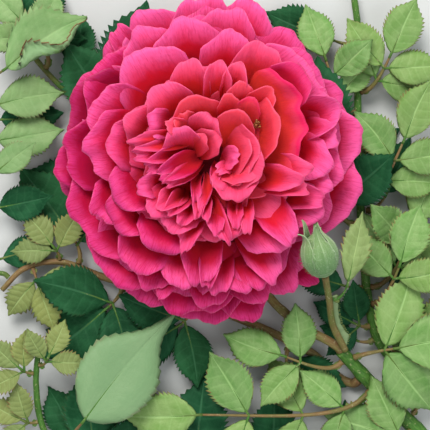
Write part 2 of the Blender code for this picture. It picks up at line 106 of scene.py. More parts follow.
class Pile:
    """Blades and tubes of one kind, in millimetres, that become one mesh.

    Each grid of points carries grain (across, along, seed) and tone (back, warmth, shade) for its
    finish, and has a square of its own on the map.
    """

    def __init__(self):
        self.points = []
        self.grain = []
        self.tone = []
        self.faces = []
        self.maps = []
        self.cells = []
        self.total = 0
        self.used = 0

    def grid(self, rows, grain, tone, wrap=False, flip=False):
        """Adds a grid of points as quads, and returns their numbers."""
        high, wide = rows.shape[:2]
        index = self.total + np.arange(high * wide).reshape(high, wide)
        self.total += high * wide
        self.points.append(rows.reshape(-1, 3))
        self.grain.append(grain.reshape(-1, 3))
        self.tone.append(np.broadcast_to(tone, (high, wide, 3)).reshape(-1, 3))
        ring = np.hstack([index, index[:, :1]]) if wrap else index
        place = np.stack(np.meshgrid(np.linspace(0, 1, ring.shape[1]), np.linspace(0, 1, high)), -1)
        corners = [(0, 0), (0, 1), (1, 1), (1, 0)]
        if flip:
            corners.reverse()
        last_row, last_column = ring.shape[0] - 1, ring.shape[1] - 1
        quads = [ring[j : last_row + j, i : last_column + i] for j, i in corners]
        flat = [place[j : last_row + j, i : last_column + i] for j, i in corners]
        self.faces.append(np.stack(quads, -1).reshape(-1, 4))
        self.maps.append(np.stack(flat, -2).reshape(-1, 4, 2))
        self.cells.append(np.full(len(self.faces[-1]), self.used))
        self.used += 1
        return index

    def blade(self, rows, thick, grain, tone, back_tone=None):
        """A thin closed sheet on both sides of a grid of points. Its underside is toned as a back."""
        down = np.gradient(rows, axis=0)
        over = np.gradient(rows, axis=1)
        normal = unit(np.cross(over, down))
        half = np.asarray(thick)[..., None] / 2 * normal
        front = self.grid(rows + half, grain, tone)
        if back_tone is None:
            back_tone = (1, *tone[1:])
        back = self.grid(rows - half, grain, back_tone, flip=True)
        self.rim(front, back)

    def rim(self, front, back):
        """Closes the edge between the two sides of a sheet, which were added last."""
        loops = [np.concatenate([g[0, :-1], g[:-1, -1], g[-1, :0:-1], g[:0:-1, 0]]) for g in (front, back)]
        a, b = loops
        quads = np.stack([np.roll(a, -1), a, b, np.roll(b, -1)], -1)
        self.faces.append(quads)
        self.maps.append(np.zeros((len(quads), 4, 2)))
        self.cells.append(np.full(len(quads), self.used - 2))

    def tube(self, path, radii, sides, seed, tone, relief=None):
        """A closed round tube along a path, its ends drawn in to a point."""
        path = np.array([tuple(p) for p in path], float)
        radii = np.array(radii, float)
        ahead = unit(np.gradient(path, axis=0))
        side = np.cross(ahead[0], (0, 0, 1)) if abs(ahead[0][2]) < 0.9 else np.array((1.0, 0, 0))
        carried = []
        for direction in ahead:
            side = side - direction * side.dot(direction)
            side = side / np.linalg.norm(side)
            carried.append(side)
        side = np.array(carried)
        other = np.cross(ahead, side)
        length = np.concatenate([[0], np.cumsum(np.linalg.norm(np.diff(path, axis=0), axis=1))])
        lines = (path, side, other, length)
        path, side, other, length = [np.concatenate([a[:1], a, a[-1:]]) for a in lines]
        turn = 2 * np.pi * (np.arange(sides) + 0.5) / sides
        thick = np.concatenate([[0], radii, [0]])[:, None] * np.ones(sides)
        if relief is not None:
            thick = thick * (1 + relief(turn[None, :], length[:, None]))
        rows = path[:, None] + thick[..., None] * (
            side[:, None] * np.cos(turn)[None, :, None] + other[:, None] * np.sin(turn)[None, :, None]
        )
        self.grid(rows, grain_of(turn / (2 * np.pi), length[:, None], seed), tone, wrap=True)

    def build(self, name, finish, slot, nodes=()):
        """The finished piece, in place, standing for some CAD nodes."""
        points = np.concatenate(self.points)
        faces = np.concatenate(self.faces)
        cells = np.concatenate(self.cells)
        across = math.ceil(math.sqrt(self.used))
        corner = np.stack([cells % across, cells // across], -1)[:, None]
        maps = (corner + MAP_MARGIN + (1 - 2 * MAP_MARGIN) * np.concatenate(self.maps)) / across
        mesh = bpy.data.meshes.new(name)
        mesh.from_pydata((points * MM).tolist(), [], faces.tolist())
        layer = mesh.uv_layers.new(name="OFBake")
        layer.data.foreach_set("uv", maps.reshape(-1))
        for label, values in (("grain", self.grain), ("tone", self.tone)):
            note = mesh.attributes.new(label, "FLOAT_VECTOR", "POINT")
            note.data.foreach_set("vector", np.concatenate(values).reshape(-1))
        bm = bmesh.new()
        bm.from_mesh(mesh)
        bmesh.ops.remove_doubles(bm, verts=bm.verts, dist=WELD)
        for face in bm.faces:
            face.smooth = True
        bm.to_mesh(mesh)
        bm.free()
        made = bpy.data.objects.new(name, mesh)
        bpy.context.scene.collection.objects.link(made)
        mesh.materials.append(finish)
        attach(made, "root")
        if nodes:
            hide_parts(*nodes)


# Stems and leaves of the shoot, laid out by the rule of the part's source

LIMB_STEPS = 3
STEM_STEPS = 14
STEM_SIDES = 16
LEAF_STATIONS = (0.0, 0.12, 0.38, 0.66, 0.88)


def bezier(a, b, c, d, t):
    """A place on the curve that leaves a toward b and reaches d from c."""
    near = a * (1 - t) ** 3 + b * 3 * t * (1 - t) ** 2
    return near + c * 3 * t * t * (1 - t) + d * t**3


def bezier_pace(a, b, c, d, t):
    """How fast that curve moves on."""
    return 3 * (b - a) * (1 - t) ** 2 + 6 * (c - b) * t * (1 - t) + 3 * (d - c) * t * t


def smooth_path(points, steps):
    """A curve through the points, with some steps between each two."""
    spans = [(b - a).normalized() for a, b in zip(points, points[1:])]
    turns = [spans[0]] + [(a + b).normalized() for a, b in zip(spans, spans[1:])] + [spans[-1]]
    path = []
    for a, b, leave, reach in zip(points, points[1:], turns, turns[1:]):
        third = (b - a).length / 3
        for i in range(steps):
            path.append(bezier(a, a + leave * third, b - reach * third, b, i / steps))
    return path + [points[-1].copy()]


def square_to(vector, axis):
    """The direction of a vector once what lies along an axis is taken off."""
    return (vector - axis * vector.dot(axis)).normalized()


def ring_faces(rings, sides):
    """The quads that join rings of points, one ring to the next."""
    faces = []
    for i in range(rings - 1):
        for k in range(sides):
            a = i * sides + k
            b = i * sides + (k + 1) % sides
            faces.append((a, b, b + sides, a + sides))
    return faces


def coarse_tube(path, radii, sides):
    """The source's plain tube, to find where a finished one has room."""
    points = []
    side = None
    last = len(path) - 1
    for i, (place, radius) in enumerate(zip(path, radii)):
        ahead = (path[min(i + 1, last)] - path[max(i - 1, 0)]).normalized()
        if side is None:
            side = ahead.cross(UP).normalized() if abs(ahead.z) < 0.9 else Vector((1, 0, 0))
        side = square_to(side, ahead)
        other = ahead.cross(side)
        for k in range(sides):
            turn = 2 * math.pi * (k + 0.5) / sides
            points.append(place + (side * math.cos(turn) + other * math.sin(turn)) * radius)
    ends = [tuple(reversed(range(sides))), tuple(range(last * sides, last * sides + sides))]
    return points, ring_faces(len(path), sides) + ends


def coarse_leaflet(root, heading, up, length, width, fold, droop):
    """The source's plain blade, with the gap round it, to find where a finished one has room."""
    heading = heading.normalized()
    side = heading.cross(up).normalized()
    up = side.cross(heading)
    thick = LEAF_THICK / 2 + GAP
    points = []
    half = 0.5
    for along in LEAF_STATIONS:
        place = root.copy()
        lift = 0
        if along > 0:
            place += heading * (NECK + along * length) - up * droop * length * along * along
            half = width / 2 * math.sin(math.pi * along**0.85) ** 0.75
            lift = fold * half
        half += GAP
        points += [
            place + side * half + up * lift,
            place + up * thick,
            place - side * half + up * lift,
            place - up * thick,
        ]
    points.append(root + heading * (NECK + length) - up * droop * length)
    tip = [(16 + k, 16 + (k + 1) % 4, 20) for k in range(4)]
    return points, ring_faces(len(LEAF_STATIONS), 4) + tip + [(3, 2, 1, 0)]


def tree_of(points, faces):
    """A search tree, to test whether two forms meet."""
    return BVHTree.FromPolygons([tuple(p) for p in points], faces)


solids = {}
stem_nodes = []


def remember(node):
    """Notes a CAD solid, so that later pieces keep clear of it."""
    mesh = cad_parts[node].data
    points = [v.co / MM for v in mesh.vertices]
    solids[node] = tree_of(points, [tuple(p.vertices) for p in mesh.polygons])


def free(points, faces):
    """Whether a form stays above the floor and clear of every solid noted so far."""
    if min(p.z for p in points) < 0:
        return False
    tree = tree_of(points, faces)
    return not any(tree.overlap(other) for other in solids.values())


def taper(thick, thin, count):
    """Radii in even steps from thick to thin."""
    return [thick + (thin - thick) * i / (count - 1) for i in range(count)]


class Limb:
    """A stem: one tapering tube along a smooth path."""

    def __init__(self, name, points, thick, thin, russet):
        self.path = smooth_path(points, LIMB_STEPS)
        self.radii = taper(thick, thin, len(self.path))
        remember(name)
        stem_nodes.append(name)
        fine = smooth_path(points, STEM_STEPS)
        seed = random.Random(name).uniform(0, 50)

        def relief(turn, length):
            """Swollen joints about every 31 mm, and low uneven ridges."""
            swell = 0.10 * np.exp(-(((length + seed) % 31 - 9) ** 2) / 3)
            rough = 0.03 * np.sin(3 * turn + 0.35 * length + seed)
            return swell + rough + 0.02 * np.sin(7 * turn - 0.9 * length)

        stems.tube(fine, taper(thick, thin, len(fine)), STEM_SIDES, seed, (russet, 0, 0), relief)

    def at(self, share):
        """The middle, radius and heading of the limb, a share of its length from its foot."""
        steps = [(b - a).length for a, b in zip(self.path, self.path[1:])]
        left = share * sum(steps)
        i = 0
        while i < len(steps) - 1 and left > steps[i]:
            left -= steps[i]
            i += 1
        t = left / steps[i]
        place = self.path[i].lerp(self.path[i + 1], t)
        radius = self.radii[i] + (self.radii[i + 1] - self.radii[i]) * t
        return place, radius, (self.path[i + 1] - self.path[i]).normalized()

    def side(self, share, toward):
        """Where a twig that heads for a place starts, beside the limb, and which way it leaves."""
        place, radius, heading = self.at(share)
        level = heading.cross(UP).normalized()
        way = toward - place
        out = level if way.dot(level) > 0 else -level
        climb = min(1.2, max(0.2, way.z / 12))
        out = square_to((out + UP * climb).normalized(), heading)
        return place + out * (radius + GAP), out


# Toothed blades, and leaves with their stalks and stipules

TEETH = 15
YOUNG_TEETH = 9
FIRST_TOOTH = 0.045
TOOTHED = 0.94
LEAF_COLUMNS = 14
LEAF_VEINS = 7
BLADE_THICK = 0.34
LOWEST = 0.35
RACHIS_STEPS = 20
STIPULE_TONE = (0.45, 0, 0)


def tooth_rows(count):
    """Where the rows of a blade lie along it, and which of them end in the point of a tooth."""
    rows = [0.0, 0.02]
    for k in range(count):
        rows += [FIRST_TOOTH + TOOTHED * (k + share) / count for share in (0.12, 0.86)]
    rows += [0.99, 1.0]
    tooth = np.zeros(len(rows))
    tooth[3:-2:2] = 1
    return np.array(rows)[:, None], tooth[:, None]


def leaf_half(v, width, drawn):
    """Half the width of a blade along its length. A drawn blade narrows early, to a long tip."""
    half = width / 2 * (1 - 0.1 * drawn)
    half = half * np.sin(np.pi * np.clip(v, 0.004, 0.999) ** (0.85 - 0.12 * drawn)) ** 0.75
    narrow = smoothstep(0.68 - 0.2 * drawn, 0.98 - 0.14 * drawn, v)
    return half * (1 - (0.5 + 0.12 * drawn) * narrow)


def leaf_blade(pile, shape, tone, wild, curled, bite, drawn):
    """One toothed leaflet blade: folded along its midrib, waved, quilted between its veins."""
    root, heading, up, length, width, fold, droop = shape
    root = np.array(root)
    heading = np.array(heading.normalized())
    side = unit(np.cross(heading, np.array(up)))
    up = np.cross(side, heading)
    v, tooth = tooth_rows(TEETH if bite < 2 else YOUNG_TEETH)
    u = np.linspace(-1, 1, LEAF_COLUMNS + 1)[None, :]
    edge = smoothstep(0.76, 1.0, np.abs(u))
    half = leaf_half(v, width, drawn) * (1 + edge * bite * (0.085 * tooth - 0.05))
    x = u * half
    rolled = 0.0
    if curled:
        crease = 0.55 + 0.17 * np.cos(9 * v + 0.6)
        go, rolled = hook(np.maximum(u - crease, 0) * half * 1.4, 0.9, math.radians(166))
        x = np.where(u > crease, crease * half + go, x)
    along = v * length + edge * tooth * 0.03 * bite * length * (1 - v)
    beside = np.sqrt(x**2 + 0.2) + rolled / max(fold, 0.1)
    x = x + wild.uniform(-0.08, 0.08) * length * v * (v - 1) * 2
    phase = v * LEAF_VEINS - 0.9 * np.abs(u) * (1 - 0.3 * v)
    quilt = 0.008 * length * np.sin(2 * np.pi * phase) * np.abs(u) * (1 - np.abs(u)) * 1.6
    wave = wild.uniform(0.015, 0.045) * length
    waves = wave * np.sin(wild.uniform(7, 11) * v + 2.2 * np.sign(u) + wild.uniform(0, 6)) * u * u
    down = wild.uniform(0.0, 0.12) * width
    z = fold * beside - droop * length * v * v + quilt + waves - down * np.abs(u) ** 3
    z = z + wild.uniform(-0.09, 0.06) * length * smoothstep(0.6, 1.0, v)
    z = z + wild.uniform(-0.09, 0.09) * x * v
    start = root + heading * NECK
    rows = start + heading * along[..., None] + side * x[..., None] + up * z[..., None]
    rows[..., 2] = np.maximum(rows[..., 2], LOWEST)
    seed = wild.uniform(0, 40)
    pile.blade(rows, BLADE_THICK - 0.2 * u**2, grain_of(u, v, seed), tone)
    if curled:
        twigs.tube(rows[5:-1, -1], np.full(len(rows) - 6, 0.24), 6, seed, (1.6, 0, 0))
    rib = rows[2:-3:3, LEAF_COLUMNS // 2] - up * 0.16
    rib = np.vstack([root, root + heading * NECK * 0.6, rib])
    twigs.tube(rib, np.linspace(0.62, 0.1, len(rib)), 6, seed, (0.35, 0, 0))


class Leaf:
    """A compound leaf, laid out as its CAD node is."""

    def __init__(self, name, limb, share, tip, size, pairs, pile, tone):
        self.rng = random.Random(name)
        self.wild = random.Random(name + " fine")
        self.pile = pile
        self.tone = tone
        self.curled = name == "leaf_upper_curled"
        self.drawn = 1.0 if name == "leaf_front" else 0.0
        self.slim = BRACT_WIDTH if name == "leaf_bud" else 1.0
        self.bite = 3.2 if name in young else 0.7 if self.drawn else 1.9
        self.blades = []
        start, out = limb.side(share, tip)
        way = tip - start
        across = way.cross(UP).normalized()
        size = min(size, 0.7 * way.length)
        end = 1 - size / way.length
        radii = [RACHIS_RADIUS * (1.6 - 0.17 * i) for i in range(5)]
        for bend in (0, 5, -5, 10, -10, 15, -15):
            third = start.lerp(tip, 0.5) + across * bend
            third.z = tip.z + 1.5
            curve = (start, start + out * 0.2 * way.length, third, tip)
            path = [bezier(*curve, end * i / 4) for i in range(5)]
            if free(*coarse_tube(path, [r + 0.15 for r in radii], 3)):
                break
        fine = [bezier(*curve, end * i / RACHIS_STEPS) for i in range(RACHIS_STEPS + 1)]
        slender = RACHIS_RADIUS * (0.7 if name in young else 0.95)
        thick = taper(1.55 * slender, 0.6 * slender, len(fine))
        thick[0] *= 1.25
        russet = 0.0 if name == "leaf_bud" else 0.8
        twigs.tube(fine, thick, 8, self.wild.uniform(0, 40), (russet, 0, tone[2]))
        self.stipules(fine, way.length)
        self.blade(path[-1], tip - path[-1], size - 1.0)
        for k in range(pairs):
            t = end * (0.8 - 0.27 * (pairs - 1 - k))
            place = bezier(*curve, t)
            ahead = bezier(*curve, t + 0.02) - place
            grown = size * (0.93 - 0.1 * (pairs - 1 - k))
            for hand in (-1, 1):
                angle = math.radians(hand * self.rng.uniform(56, 68))
                heading = Matrix.Rotation(angle, 3, "Z") @ ahead
                self.blade(place, heading, grown * self.rng.uniform(0.92, 1.0))
        remember(name)

    def stipules(self, path, length):
        """The pair of narrow wings along the foot of the leaf's stalk."""
        last = 2 + int(RACHIS_STEPS * min(0.4, 9 / length))
        spine = np.array([tuple(p) for p in path[: last + 1]])
        side = unit(np.cross(unit(np.gradient(spine, axis=0)), (0, 0, 1)))
        share = np.linspace(0, 1, last + 1)
        wide = 1.5 * np.sin(np.pi * np.clip(share * 0.8 + 0.1, 0, 1)) * (1 + 0.5 * (share > 0.8))
        reach = np.linspace(0, 1, 4) * wide[:, None]
        for hand in (-1, 1):
            rows = spine[:, None] + hand * reach[..., None] * side[:, None]
            rows[..., 2] += 0.35 * reach
            grain = np.zeros(rows.shape) + (0.0, 0.5, 1.0)
            twigs.blade(rows[:, ::hand], 0.2, grain, STIPULE_TONE, STIPULE_TONE)

    def blade(self, root, heading, length):
        """A leaflet, tilted or shortened until it has room."""
        heading = Vector((heading.x, heading.y, 0)).normalized()
        side = heading.cross(UP)
        root = root - heading * 0.5
        wide = self.rng.uniform(0.62, 0.7) * self.slim
        fold = self.rng.uniform(0.12, 0.3)
        droop = self.rng.uniform(0.02, 0.1)
        pitch = self.rng.uniform(-4, 6)
        lean = self.rng.uniform(-9, 9)
        for part in (1.0, 0.85, 0.7):
            for more in (0, 6, -6, 12, -12, 18, -18, 24):
                turned = Matrix.Rotation(math.radians(pitch + more), 3, side) @ heading
                rolled = Matrix.Rotation(math.radians(lean), 3, turned) @ UP
                shape = (root, turned, rolled, length * part, length * part * wide, fold, droop)
                points, faces = coarse_leaflet(*shape)
                beyond_neck = tree_of(points, faces[4:-1])
                if any(beyond_neck.overlap(other) for other in self.blades):
                    continue
                if free(points, faces):
                    self.blades.append(beyond_neck)
                    back, youth, shade = self.tone
                    youth = max(0, youth + self.wild.uniform(-0.2, 0.35))
                    tone = (back, youth, max(0, shade + self.wild.uniform(-0.25, 0.35)))
                    leaf_blade(self.pile, shape, tone, self.wild, self.curled, self.bite, self.drawn)
                    return


# Finishes


class Value:
    """A number or vector that varies over a surface; sums on it add shader nodes."""

    def __init__(self, finish, socket):
        self.finish = finish
        self.socket = socket

    def sum(self, operation, *others, first=None):
        values = dict(enumerate([self if first is None else first, *others]))
        return self.finish.node("ShaderNodeMath", {"operation": operation}, values)

    def __add__(self, other):
        return self.sum("ADD", other)

    __radd__ = __add__

    def __sub__(self, other):
        return self.sum("SUBTRACT", other)

    def __rsub__(self, other):
        return self.sum("SUBTRACT", self, first=other)

    def __mul__(self, other):
        return self.sum("MULTIPLY", other)

    __rmul__ = __mul__

    def size(self):
        return self.sum("ABSOLUTE")

    def sine(self):
        return self.sum("SINE")

    def fraction(self):
        return self.sum("FRACT")

    def between(self, low, high):
        """0 below low, 1 above high, and a smooth ramp between."""
        return self.finish.node(
            "ShaderNodeMapRange",
            {"interpolation_type": "SMOOTHSTEP"},
            {"Value": self, "From Min": low, "From Max": high},
        )


class Finish:
    """A material's nodes."""

    def __init__(self, name, roughness):
        self.material = bpy.data.materials.new(name)
        self.material.use_nodes = True
        self.tree = self.material.node_tree
        self.skin = self.tree.nodes["Principled BSDF"]
        self.set("Roughness", roughness)

    def node(self, kind, settings=None, inputs=None, output=0):
        made = self.tree.nodes.new(kind)
        for name, value in (settings or {}).items():
            setattr(made, name, value)
        for name, value in (inputs or {}).items():
            self.feed(made.inputs[name], value)
        return Value(self, made.outputs[output])

    def feed(self, socket, value):
        if isinstance(value, Value):
            self.tree.links.new(value.socket, socket)
        else:
            socket.default_value = value

    def note(self, name):
        """The three numbers of an attribute of the mesh."""
        vector = self.node("ShaderNodeAttribute", {"attribute_name": name}, output="Vector")
        split = self.tree.nodes.new("ShaderNodeSeparateXYZ")
        self.tree.links.new(vector.socket, split.inputs[0])
        return [Value(self, split.outputs[k]) for k in range(3)]

    def vector(self, x, y, z):
        return self.node("ShaderNodeCombineXYZ", None, {0: x, 1: y, 2: z})

    def object_place(self):
        return self.node("ShaderNodeTexCoord", output="Object")

    def noise(self, place, scale, detail=3.0, roughness=0.55):
        """Uneven values from 0 to 1, at a place or at three values that serve as one."""
        place = self.vector(*place) if isinstance(place, tuple) else place
        inputs = {"Vector": place, "Scale": scale, "Detail": detail, "Roughness": roughness}
        return self.node("ShaderNodeTexNoise", None, inputs, "Fac")

    def mix(self, amount, first, second):
        """The first colour, and as much of the second as the amount says."""
        a, b = [c if isinstance(c, Value) else (*c, 1) for c in (first, second)]
        return self.node("ShaderNodeMix", {"data_type": "RGBA"}, {0: amount, 6: a, 7: b}, 2)

    def coats(self, color, *coats):
        """A colour with others laid over it, each as much as its amount says."""
        for amount, over in coats:
            color = self.mix(amount, color, over)
        return color

    def set(self, name, value):
        self.feed(self.skin.inputs[name], value)

    def bump(self, height, distance, strength):
        inputs = {"Height": height, "Distance": distance, "Strength": strength}
        self.set("Normal", self.node("ShaderNodeBump", None, inputs))

    def glow(self, amount, color):
        """Lets a share of the light through the sheet."""
        through = self.tree.nodes.new("ShaderNodeBsdfTranslucent")
        self.feed(through.inputs["Color"], color)
        both = self.tree.nodes.new("ShaderNodeMixShader")
        both.inputs[0].default_value = amount
        out = self.tree.nodes["Material Output"]
        self.tree.links.new(self.skin.outputs[0], both.inputs[1])
        self.tree.links.new(through.outputs[0], both.inputs[2])
        self.tree.links.new(both.outputs[0], out.inputs["Surface"])


def shaded(color, share, more=(0, 0, 0)):
    """A share of a colour, with some light added."""
    return tuple(share * c + m for c, m in zip(color, more))


PINK = (0.86, 0.012, 0.070)
CORAL = (0.84, 0.040, 0.045)
CRIMSON = (0.58, 0.003, 0.075)
FOOT_PINK = (0.80, 0.012, 0.034)
FOOT_CORAL = (0.84, 0.065, 0.035)
FOOT_CRIMSON = (0.52, 0.010, 0.020)
RIM_PINK = (1.0, 0.14, 0.46)
RIM_CORAL = (0.95, 0.08, 0.135)
RIM_CRIMSON = (0.80, 0.036, 0.25)
RIM_PALEST = (1.0, 0.25, 0.46)
HOT_EDGE = (0.90, 0.018, 0.15)
VEIN_RED = (0.60, 0.005, 0.065)
UNDER_PINK = (0.80, 0.10, 0.33)
UNDER_ROSE = (0.72, 0.06, 0.24)
UNDER_VEIN = (0.6, 0.02, 0.14)
# Near black crimson of painted shade in the folds and the heart of the bloom.
PAINTED_FOLD_SHADE = (0.17, 0.003, 0.010)


def petal_finish():
    """Satin pink, coral where warm, with fine veins and a paler rim; painted shade deepens it to crimson,
    and to near black deep in the folds.
    """
    finish = Finish("petal pink", 0.55)
    across, along, seed = finish.note("grain")
    back, warmth, shade = finish.note("tone")
    wander = finish.noise((across * 1.3, along * 1.6, seed), 2.2)
    bent = across + wander * 0.14
    veins = finish.noise((bent * 22, along * 3.2, seed * 3.1), 1.0, 2.0, 0.6)
    fine = finish.noise((bent * 52, along * 11.0, seed * 1.7), 1.0, 1.0)
    streak = veins.between(0.47, 0.66) * 0.7 + fine.between(0.5, 0.7) * 0.45
    # The shade tone is painted shade, partly the petal's own deeper crimson: it narrows the pink rim band
    # and mixes crimson into body, foot and rim.
    near_rim = (along + wander * 0.3 - 0.15).between(0.29 + warmth * 0.18 + shade * 0.3, 0.98)
    # A thin paler line at the very rim: partly the petal's own pale edge, partly painted highlight.
    very_rim = along.between(0.955, 0.995)
    foot = 1 - (along + wander * 0.3 - 0.15 - warmth * 0.25).between(0.1, 0.75)
    body = finish.coats(PINK, (warmth, CORAL), (shade * 0.8, CRIMSON))
    foot_color = finish.coats(FOOT_PINK, (warmth, FOOT_CORAL), (shade * 0.9, FOOT_CRIMSON))
    rim_color = finish.coats(RIM_PINK, (warmth * 1.25, RIM_CORAL), (shade * 0.85, RIM_CRIMSON))
    hot_edge = warmth.between(0.84, 0.95) * along.between(0.84, 0.95)
    lines = streak * along.between(0.2, 0.7) * (1 - warmth * 0.7)
    under = finish.coats(UNDER_PINK, (wander.between(0.3, 0.7), UNDER_ROSE), (lines * 0.5, UNDER_VEIN))
    # Darker at the deep feet of the petals, and near black where shade passes 1.2: painted shade.
    painted_fold_shade = (1 - along.between(-0.2, 0.2)) * 0.45 + (shade - 1.2).between(0.0, 0.5)
    color = finish.coats(
        body,
        (foot * 0.9, foot_color),
        (near_rim, rim_color),
        (very_rim * 0.3, RIM_PALEST),
        (hot_edge * 0.85, HOT_EDGE),
        (lines * (0.4 + shade * 0.3), VEIN_RED),
        (back * (1 - warmth * 0.75) * 0.8, under),
        (painted_fold_shade, PAINTED_FOLD_SHADE),
    )
    finish.set("Base Color", color)
    finish.set("Roughness", 0.62 - near_rim * 0.1 + streak * 0.08)
    height = veins * 0.6 + fine * 0.3 + wander * 1.5
    finish.bump(height, 0.00035, 0.5)
    finish.set("Specular IOR Level", 0.16)
    finish.set("Sheen Weight", 0.04)
    finish.set("Sheen Roughness", 0.4)
    finish.set("Sheen Tint", (1, 0.7, 0.85, 1))
    finish.glow(0.4, color)
    return finish.material


def leaf_finish(name, near, deep, edge_color, roughness, gloss=0.3):
    """Leaf skin between two greens, with paler veins and a reddish rim."""
    finish = Finish(name, roughness)
    across, along, seed = finish.note("grain")
    back, youth, shade = finish.note("tone")
    side = across.size()
    patch = finish.noise((across * 1.2, along * 1.8, seed), 1.7)
    speck = finish.noise((across * 9, along * 16, seed), 1.4, 4.0, 0.7)
    phase = (along * LEAF_VEINS - side * (0.9 - along * 0.27) + patch * 0.5).fraction()
    puff = (phase - 0.5).size().between(0.0, 0.42) * side.between(0.0, 0.2)
    vein = 1 - (phase - 0.5).size().between(0.0, 0.16)
    vein = vein * side.between(0.0, 0.12) * (1 - side.between(0.8, 0.97))
    net = finish.node(
        "ShaderNodeTexVoronoi",
        {"feature": "DISTANCE_TO_EDGE"},
        {"Vector": finish.vector(across * 8, along * 15, seed), "Scale": 1.6},
        "Distance",
    )
    net = 1 - net.between(0.02, 0.1)
    midrib = 1 - side.between(0.02, 0.07)
    plain = 1 - back * 0.85
    broken = finish.noise((across, along * 5, seed), 2.0).between(0.35, 0.6)
    color = finish.coats(
        near,
        (patch.between(0.3, 0.72), deep),
        (speck.between(0.35, 0.8) * 0.3, shaded(deep, 0.62)),
        (youth * 0.6, (1.12 * near[0], 0.82 * near[1], 0.55 * near[2])),
        (shade * 0.75, shaded(deep, 0.5, (0.0, 0.02, 0.015))),
        ((vein * 0.15 + net * 0.06) * plain, shaded(near, 1.3, (0.02, 0.02, 0.02))),
        (midrib * 0.45 * plain, shaded(near, 1.45, (0.03, 0.03, 0.03))),
        (side.between(0.9, 1.0) * broken * 0.75, edge_color),
        (back * 0.6, shaded(near, 0.6, (0.07, 0.11, 0.115))),
    )
    finish.set("Base Color", color)
    finish.set("Roughness", roughness + speck * 0.15 - vein * 0.05)
    height = puff * 0.9 + net * -0.2 + midrib * -0.8 + speck * 0.5 + patch * 2.0
    finish.bump(height, 0.0003, 0.6)
    finish.set("Specular IOR Level", gloss)
    finish.glow(0.14, finish.mix(0.5, color, shaded(near, 0.8)))
    return finish.material


def stem_finish():
    """Green to russet bark with lengthwise streaks and small pores."""
    finish = Finish("stem bark", 0.5)
    around, along, seed = finish.note("grain")
    russet, _, _ = finish.note("tone")
    place = finish.object_place()
    patch = finish.noise(place, 120.0, 3.0)
    turn = around * (2 * math.pi)
    ring = (turn.sine() * 2.2, along * 0.18, (turn + 1.57).sine() * 2.2 + seed)
    streak = finish.noise(ring, 2.2, 4.0)
    pore = finish.noise(place, 900.0, 2.0)
    green = finish.mix(streak.between(0.3, 0.7), (0.075, 0.185, 0.028), (0.032, 0.11, 0.014))
    red = finish.mix(streak.between(0.3, 0.7), (0.23, 0.155, 0.06), (0.18, 0.075, 0.035))
    amount = (russet * 0.95 + patch * 0.9 - 0.6).between(0.05, 0.85)
    worn = pore.between(0.6, 0.72) * 0.5
    finish.set("Base Color", finish.coats(green, (amount, red), (worn, (0.4, 0.36, 0.2))))
    finish.set("Roughness", 0.42 + patch * 0.2)
    finish.bump(streak * 0.8 + pore * 0.3, 0.0003, 0.6)
    finish.set("Specular IOR Level", 0.22)
    return finish.material


def bud_finish():
    """Soft grey-green skin with lengthwise nerves and down."""
    finish = Finish("bud down", 0.7)
    across, along, seed = finish.note("grain")
    _, warmth, _ = finish.note("tone")
    nerve = finish.noise((across * 7, along * 1.5, seed), 1.6, 3.0)
    down = finish.noise(finish.object_place(), 1500.0, 2.0)
    rib = 1 - across.size().between(0.03, 0.14)
    color = finish.coats(
        (0.20, 0.31, 0.125),
        (nerve.between(0.3, 0.7), (0.11, 0.20, 0.055)),
        (rib * 0.5, (0.36, 0.48, 0.26)),
        (across.size().between(0.85, 1.0) * 0.35, (0.46, 0.56, 0.36)),
        # Darker green toward the foot of bud, hip and sepals: painted shade.
        ((1 - along.between(0.1, 0.7)) * 0.8, (0.07, 0.19, 0.05)),
        (warmth, (0.62, 0.05, 0.13)),
        (down.between(0.55, 0.75) * 0.25, (0.55, 0.62, 0.45)),
    )
    finish.set("Base Color", color)
    finish.bump(nerve * 0.8 + down * 0.5, 0.0003, 0.6)
    finish.set("Sheen Weight", 0.35)
    finish.set("Sheen Tint", (0.85, 1, 0.75, 1))
    return finish.material


def floor_finish():
    finish = Finish("pale floor", 0.85)
    grain = finish.noise(finish.object_place(), 40.0, 4.0)
    color = finish.mix(grain.between(0.3, 0.7), (0.50, 0.51, 0.50), (0.52, 0.53, 0.52))
    finish.set("Base Color", color)
    return finish.material


petal_look = petal_finish()
stem_look = stem_finish()
bud_look = bud_finish()
near_leaf = leaf_finish(
    "leaf sage", (0.25, 0.405, 0.135), (0.135, 0.30, 0.062), (0.22, 0.07, 0.03), 0.5
)
# The deep finish's near-black greens are painted shade on the leaves that lie low and behind, darker than
# their own green.
deep_leaf_painted_shade = leaf_finish(
    "leaf deep painted shade", (0.018, 0.11, 0.04), (0.005, 0.055, 0.018), (0.03, 0.06, 0.02), 0.55, 0.12
)
young_leaf = leaf_finish(
    "leaf young", (0.27, 0.38, 0.13), (0.19, 0.27, 0.08), (0.32, 0.08, 0.045), 0.45
)

# Bloom

CENTRE = np.array((AXIS.x, AXIS.y, 0.0))
DOME_RADII = (0, 10, 20, 28, 37, 46, 53, 58, 64)
DOME_HEIGHTS = (46, 49, 50.5, 49.5, 46, 40.5, 34, 27, 20)
PETAL_DEPTH = 17.8
PETAL_BELLY = (0.418, 0.42)
PETAL_ROWS = 20
PETAL_THICK = 0.42
RIM_SPAN = 20.0
petals = {"outer": Pile(), "middle": Pile(), "inner": Pile()}
luck = random.Random(PETAL_SEED)


def dome(radius):
    """Height of the rosette's top at a distance from its axis."""
    return float(np.interp(radius, DOME_RADII, DOME_HEIGHTS))


def hook(excess, radius, angle):
    """How far a sheet goes on, and how far it drops, past the line where it starts to turn over."""
    arc = radius * angle
    turned = np.clip(excess, 0, arc) / radius
    rest = np.clip(excess - arc, 0, None)
    ahead = radius * np.sin(turned) + rest * math.cos(angle)
    return ahead, radius * (1 - np.cos(turned)) + rest * math.sin(angle)


